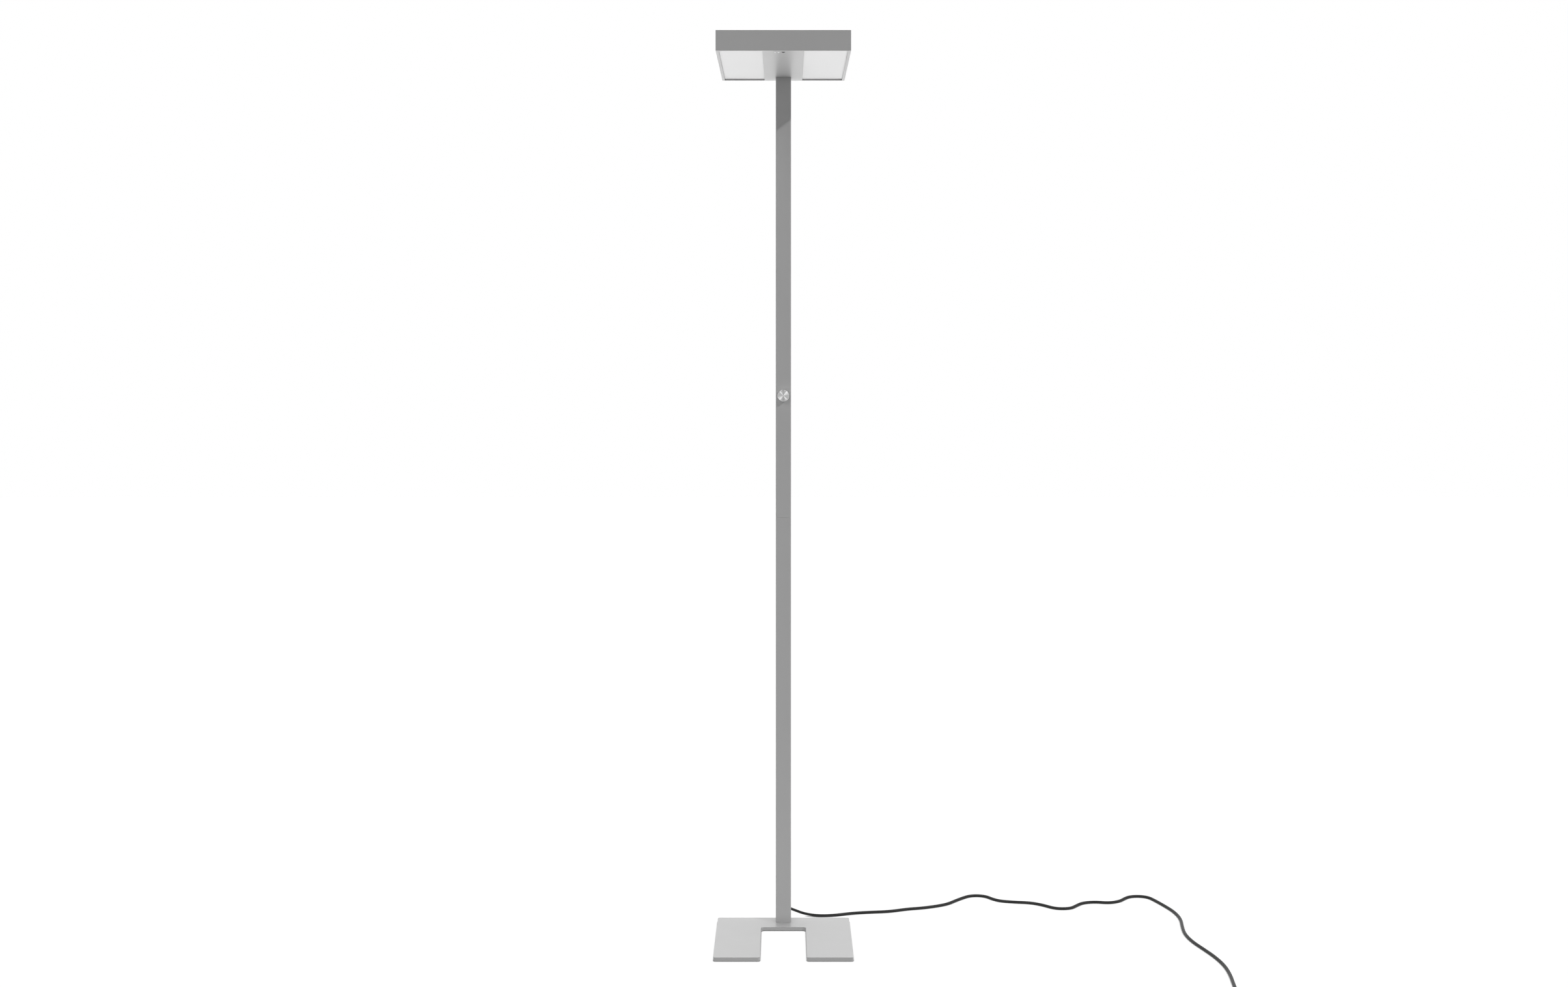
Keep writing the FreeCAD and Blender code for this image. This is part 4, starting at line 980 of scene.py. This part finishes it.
@dataclass
class CoilTie:
    """The strap that holds the coil: a flat band with rounded corners."""

    wardrobe: Wardrobe
    thickness: float = 0.001
    corner: float = 0.0035
    corner_steps: int = 5
    edge: float = 0.0002
    edge_steps: int = 2

    def build(self) -> Pieces:
        """Makes the band from a block without its two open ends.

        Returns:
            The band.
        """
        low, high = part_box("cord_tie")
        band = Bench.block("coil_tie", low, high)
        bpy.ops.object.mode_set(mode="EDIT")
        Bench.pick(band, "faces", lambda face: abs(face.normal.y) > ALONG)
        bpy.ops.mesh.delete(type="FACE")
        Bench.pick(
            band, "edges", lambda e: abs((e.verts[0].co - e.verts[1].co).normalized().y) > ALONG
        )
        bpy.ops.mesh.bevel(offset=self.corner, segments=self.corner_steps, affect="EDGES")
        bpy.ops.object.mode_set(mode="OBJECT")
        Bench.apply(band, "SOLIDIFY", thickness=self.thickness, offset=-1.0)
        Bench.apply(
            band, "BEVEL", width=self.edge, segments=self.edge_steps, limit_method="ANGLE"
        )
        Bench.settle(band, "coil_tie")
        self.wardrobe.dress(band, NYLON)
        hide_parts("cord_tie")
        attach(band, "lamp")
        return [band]


@dataclass
class MainsPlug:
    """The earthed plug: ribbed tail, round body with grip rings, two pins and two earth strips.

    Distances along the axis count from the tail's end. A rib and a ring are (height, distance)
    at each of their corners, from the tail's growing radius and from where each starts.
    """

    wardrobe: Wardrobe
    length: float = 0.056
    radius: float = 0.0185
    tail_end: Sequence[Pair] = ((0.0, 0.0), (0.0042, 0.0), (0.0045, 0.0004))
    ribs: int = 5
    rib_start: Pair = (0.0045, 0.0015)
    rib_step: Pair = (0.0004, 0.0034)
    rib: Sequence[Pair] = ((0.0, 0.0), (0.0, 0.0018), (-0.0006, 0.0021), (-0.0006, 0.0031))
    shoulder: Sequence[Pair] = (
        (0.0062, 0.0195), (0.0080, 0.0235), (0.0118, 0.0285), (0.0150, 0.0335),
        (0.0166, 0.0375),
    )
    rings: int = 3
    ring_start: Pair = (0.0172, 0.0385)
    ring_step: Pair = (0.0002, 0.0012)
    ring: Sequence[Pair] = ((0.0, 0.0), (-0.0006, 0.0006))
    drum_start: float = 0.0424
    drum_ease: Pair = (0.0002, 0.0008)
    front_edge: float = 0.0012
    front_ease: float = 0.0004
    dent: float = 0.0148
    dent_slope: float = 0.0002
    dent_depth: float = 0.0004
    slot_depth: float = 0.0016
    slot_half: float = 0.0032
    overcut: float = 0.001
    strip_length: float = 0.014
    strip_half: float = 0.003
    strip_inset: float = 0.0012
    strip_half_thickness: float = 0.0004
    strip_edge: float = 0.0002
    pin_radius: float = 0.0024
    pin_length: float = 0.019
    pin_spacing: float = 0.019
    pin_point: Sequence[Pair] = ((1.0, 0.0022), (0.9, 0.0012), (0.65, 0.0004), (0.3, 0.0))
    pin_steps: int = 32

    @staticmethod
    def repeated(count: int, start: Pair, step: Pair, form: Sequence[Pair]) -> list[Pair]:
        """Repeats a small form along the axis while the radius grows.

        Args:
            count: how often.
            start: radius and distance of the first.
            step: how both grow from one to the next.
            form: the form's corners from there.

        Returns:
            All corners.
        """
        return [
            (start[0] + step[0] * n + out, start[1] + step[1] * n + along)
            for n in range(count)
            for out, along in form
        ]

    def outline(self) -> list[Pair]:
        """The body's outline from the tail's end to the middle of its front.

        Returns:
            Its corners.
        """
        r, length = self.radius, self.length
        ease, ease_length = self.drum_ease
        bottom = length - self.dent_depth
        return [
            *self.tail_end,
            *self.repeated(self.ribs, self.rib_start, self.rib_step, self.rib),
            *self.shoulder,
            *self.repeated(self.rings, self.ring_start, self.ring_step, self.ring),
            (r - ease, self.drum_start),
            (r, self.drum_start + ease_length),
            (r, length - self.front_edge),
            (r - self.front_ease, length - self.front_ease),
            (r - self.front_edge, length),
            (self.dent, length),
            (self.dent - self.dent_slope, bottom),
            (0.0, bottom),
        ]

    def build(self) -> Pieces:
        """Turns the body and the pins, cuts the slots and lays the strips in them.

        Returns:
            The plug's pieces.
        """
        low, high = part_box("plug_body")
        place = (high.x, (low.y + high.y) / 2, (low.z + high.z) / 2)
        body = Bench.turned("plug_shell", self.outline(), place, Axis.LEFT)
        front, over = place[0] - self.length, self.overcut
        half = self.slot_depth / 2
        for sign in (-1, 1):
            middle = place[2] + sign * (self.radius - half + over)
            Bench.cut(
                body,
                Bench.block(
                    "slot_cutter",
                    (front - over, place[1] - self.slot_half, middle - half - over),
                    (front + self.strip_length, place[1] + self.slot_half, middle + half + over),
                ),
            )
        Bench.settle(body, "plug_shell")
        self.wardrobe.dress(body, SHEATH)
        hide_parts("plug_body")
        pieces = [body, *self.pins(place), *self.strips(place)]
        for piece in pieces:
            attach(piece, "lamp")
        return pieces

    def pins(self, place: Point) -> Pieces:
        """Two pins with rounded ends.

        Args:
            place: the start of the plug's axis.

        Returns:
            The pins.
        """
        r, length = self.pin_radius, self.pin_length
        pin = Bench.turned(
            "plug_pin_1",
            [
                (0.0, 0.0),
                (r, 0.0),
                *((r * share, length - back) for share, back in self.pin_point),
                (0.0, length),
            ],
            (place[0] - self.length, place[1] - self.pin_spacing / 2, place[2]),
            Axis.LEFT,
            self.pin_steps,
        )
        pins = [pin, Bench.copy(pin, "plug_pin_2", (0, self.pin_spacing, 0))]
        for piece in pins:
            self.wardrobe.dress(piece, NICKEL)
            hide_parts("plug_pins")
        return pins

    def strips(self, place: Point) -> Pieces:
        """The two earth strips, their edges rounded.

        Args:
            place: the start of the plug's axis.

        Returns:
            The strips.
        """
        strips = []
        front, half = place[0] - self.length, self.strip_half_thickness
        for n, sign in enumerate((-1, 1), 1):
            middle = place[2] + sign * (self.radius - self.strip_inset)
            strip = Bench.block(
                f"earth_strip_{n}",
                (front, place[1] - self.strip_half, middle - half),
                (front + self.strip_length, place[1] + self.strip_half, middle + half),
                self.strip_edge,
            )
            self.wardrobe.dress(strip, NICKEL)
            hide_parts("plug_earth_strips")
            strips.append(strip)
        return strips


# ---------------------------------------------------------------- studio


@dataclass(frozen=True)
class FarLight:
    """A light so far off that it falls on the whole lamp from one side.

    Its softness is how wide it looks from the lamp, in degrees, and its level how bright it
    makes a white card that faces it. One that misses matt surfaces only shows in shiny ones.
    """

    name: str
    side: Point
    softness: float
    level: float
    on_matt: bool = True
    distance: float = 2.0

    def hang(self) -> None:
        """Adds the light."""
        light = bpy.data.lights.new(self.name, "SUN")
        light.energy = self.level * math.pi
        light.angle = math.radians(self.softness)
        lamp = bpy.data.objects.new(self.name, light)
        bpy.context.scene.collection.objects.link(lamp)
        lamp.location = Vector(self.side) * self.distance
        lamp.rotation_euler = (-Vector(self.side)).to_track_quat("-Z", "Y").to_euler()
        lamp.visible_diffuse = self.on_matt


@dataclass
class Studio:
    """A pale floor, white all round to look at, soft light from all round and three far lights.

    What lights the lamp depends on the direction alone. Low behind it is a bright window,
    weaker above the horizon, between two dimmer sides. Steeply behind it are the bounce from
    below and the sky above, and in front is a low soft bank. Each pair of limits says where,
    in a part of the direction from -1 to 1, one level goes over into the next.
    """

    floor_tone: str = "#FAFAFA"
    floor_own: float = 1.02
    floor_share: float = 0.05
    floor_gap: float = 0.0002
    reach: float = 14.0
    # The floor's painted shade where a piece nearly meets it: how far it looks, where it sets in,
    # and how dark it gets.
    painted_shade_reach: float = 0.004
    painted_shade_limits: Pair = (0.45, 0.9)
    shade: float = 0.08
    bank: float = 0.34
    sides: float = 0.35
    window: float = 2.465
    sheen: float = 1.3
    bounce: float = 1.33
    sky: float = 1.4
    window_limits: Pair = (0.35, 0.55)
    horizon_limits: Pair = (-0.1, 0.1)
    sky_limits: Pair = (-0.5, 0.5)
    steep_limits: Pair = (0.42, 0.54)
    rear_limits: Pair = (-0.35, 0.35)
    lights: Sequence[FarLight] = (
        FarLight("key_light", (1.4, -1.0, 1.1), 2.0, 0.35),
        FarLight("fill_light", (-1.1, -2.0, 1.5), 30.0, 0.19),
        FarLight("glint_light", (-1.1, -1.0, 1.0), 3.0, 0.18, on_matt=False),
    )

    def build(self) -> None:
        """Lays the floor and sets up the light."""
        bpy.context.scene.view_settings.view_transform = "Standard"
        self.lay_floor()
        self.fill_air()
        for light in self.lights:
            light.hang()

    def lay_floor(self) -> None:
        """A wide pale floor, lit from within, with painted shade only where a piece nearly meets
        it.
        """
        Bench.clear()
        level = (0, 0, -self.floor_gap)
        bpy.ops.mesh.primitive_plane_add(size=self.reach * 2, location=level)
        floor = Bench.settle(bpy.context.active_object, "studio_floor")
        material = bpy.data.materials.new("studio_floor_paper")
        material.use_nodes = True
        tree = material.node_tree
        tree.nodes.clear()
        tone = linear(self.floor_tone)
        # Painted shade: the floor's own glow drops where a piece nearly meets it.
        painted_floor_shade = add_node(
            tree, "ShaderNodeAmbientOcclusion", {"samples": 8}, Distance=self.painted_shade_reach
        )
        glow = add_node(
            tree,
            "ShaderNodeMapRange",
            Value=painted_floor_shade.outputs["AO"],
            From_Min=self.painted_shade_limits[0],
            From_Max=self.painted_shade_limits[1],
            To_Min=self.shade,
            To_Max=self.floor_own,
        )
        shader = add_node(
            tree,
            "ShaderNodeBsdfPrincipled",
            Base_Color=(*(c * self.floor_share for c in tone[:3]), 1.0),
            Roughness=0.9,
            Specular_IOR_Level=0.1,
            Emission_Color=tone,
            Emission_Strength=glow.outputs["Result"],
        )
        add_node(tree, "ShaderNodeOutputMaterial", Surface=shader.outputs["BSDF"])
        floor.data.materials.append(material)
        floor.visible_diffuse = floor.visible_shadow = False

    @staticmethod
    def blend(
        by: bpy.types.NodeSocket,
        limits: Pair,
        first: float | bpy.types.NodeSocket,
        then: float | bpy.types.NodeSocket,
    ) -> bpy.types.NodeSocket:
        """Goes softly from one level of light to another.

        Args:
            by: the part of the direction that the change follows.
            limits: where the change starts and ends.
            first: the level before it.
            then: the level after it.

        Returns:
            The level.
        """
        return add_node(
            by.id_data,
            "ShaderNodeMapRange",
            {"interpolation_type": "SMOOTHSTEP"},
            Value=by,
            From_Min=limits[0],
            From_Max=limits[1],
            To_Min=first,
            To_Max=then,
        ).outputs[0]

    def fill_air(self) -> None:
        """Surrounds the lamp with white to look at, and with the light described above."""
        world = bpy.data.worlds.new("cyclorama")
        bpy.context.scene.world = world
        world.use_nodes = True
        tree = world.node_tree
        tree.nodes.clear()
        way = add_node(tree, "ShaderNodeTexCoord").outputs["Generated"]
        parts = add_node(tree, "ShaderNodeSeparateXYZ", Vector=way).outputs
        aside, steep = (
            add_node(tree, "ShaderNodeMath", {"operation": "ABSOLUTE"}, _0=parts[name]).outputs[0]
            for name in ("X", "Z")
        )
        height = parts["Z"]
        middle = self.blend(height, self.horizon_limits, self.window, self.sheen)
        low = self.blend(aside, self.window_limits, middle, self.sides)
        beyond = self.blend(height, self.sky_limits, self.bounce, self.sky)
        rear = self.blend(steep, self.steep_limits, low, beyond)
        front = self.blend(steep, self.steep_limits, self.bank, 0.0)
        level = self.blend(parts["Y"], self.rear_limits, front, rear)
        path = add_node(tree, "ShaderNodeLightPath")
        light, white = (
            add_node(tree, "ShaderNodeBackground", Color=(1, 1, 1, 1), Strength=strength)
            for strength in (level, 1.0)
        )
        mix = add_node(
            tree,
            "ShaderNodeMixShader",
            _0=path.outputs["Is Camera Ray"],
            _1=light.outputs[0],
            _2=white.outputs[0],
        )
        add_node(tree, "ShaderNodeOutputWorld", Surface=mix.outputs[0])


@dataclass
class Viewpoint:
    """The photograph's viewpoint: in front of the lamp, near the knob's height, a long lens."""

    place: Point = (0.0013, -4.5463, 1.3063)
    tilt: float = 0.5
    lens: float = 47.855
    film: float = 36.0
    rise: float = -0.0793
    far: float = 100.0

    def build(self) -> None:
        """Sets the camera up."""
        camera = bpy.data.cameras.new("viewpoint")
        camera.lens = self.lens
        camera.sensor_width = self.film
        camera.shift_y = self.rise
        camera.clip_end = self.far
        stand = bpy.data.objects.new("viewpoint", camera)
        bpy.context.scene.collection.objects.link(stand)
        stand.location = self.place
        stand.rotation_euler = (math.radians(90 - self.tilt), 0.0, 0.0)
        bpy.context.scene.camera = stand


def main() -> None:
    """Builds the studio, dresses the frame and makes the finer pieces."""
    logging.basicConfig(level=logging.INFO, format="%(message)s")
    Viewpoint().build()
    Studio().build()
    wardrobe = Wardrobe()
    for finish, names in DRESS:
        for name in names:
            wardrobe.dress(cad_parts[name], finish)
    lead = MainsLead(wardrobe)
    pieces = lead.build()
    carried = [*CoilTie(wardrobe).build(), *MainsPlug(wardrobe).build()]
    pieces += carried
    for maker in (DimmerKnob, PoleScrews, FloorGlides, LeadGland):
        pieces += maker(wardrobe).build()
    for piece in pieces:
        log.info("made %s", piece.name)


if __name__ == "__main__":
    main()
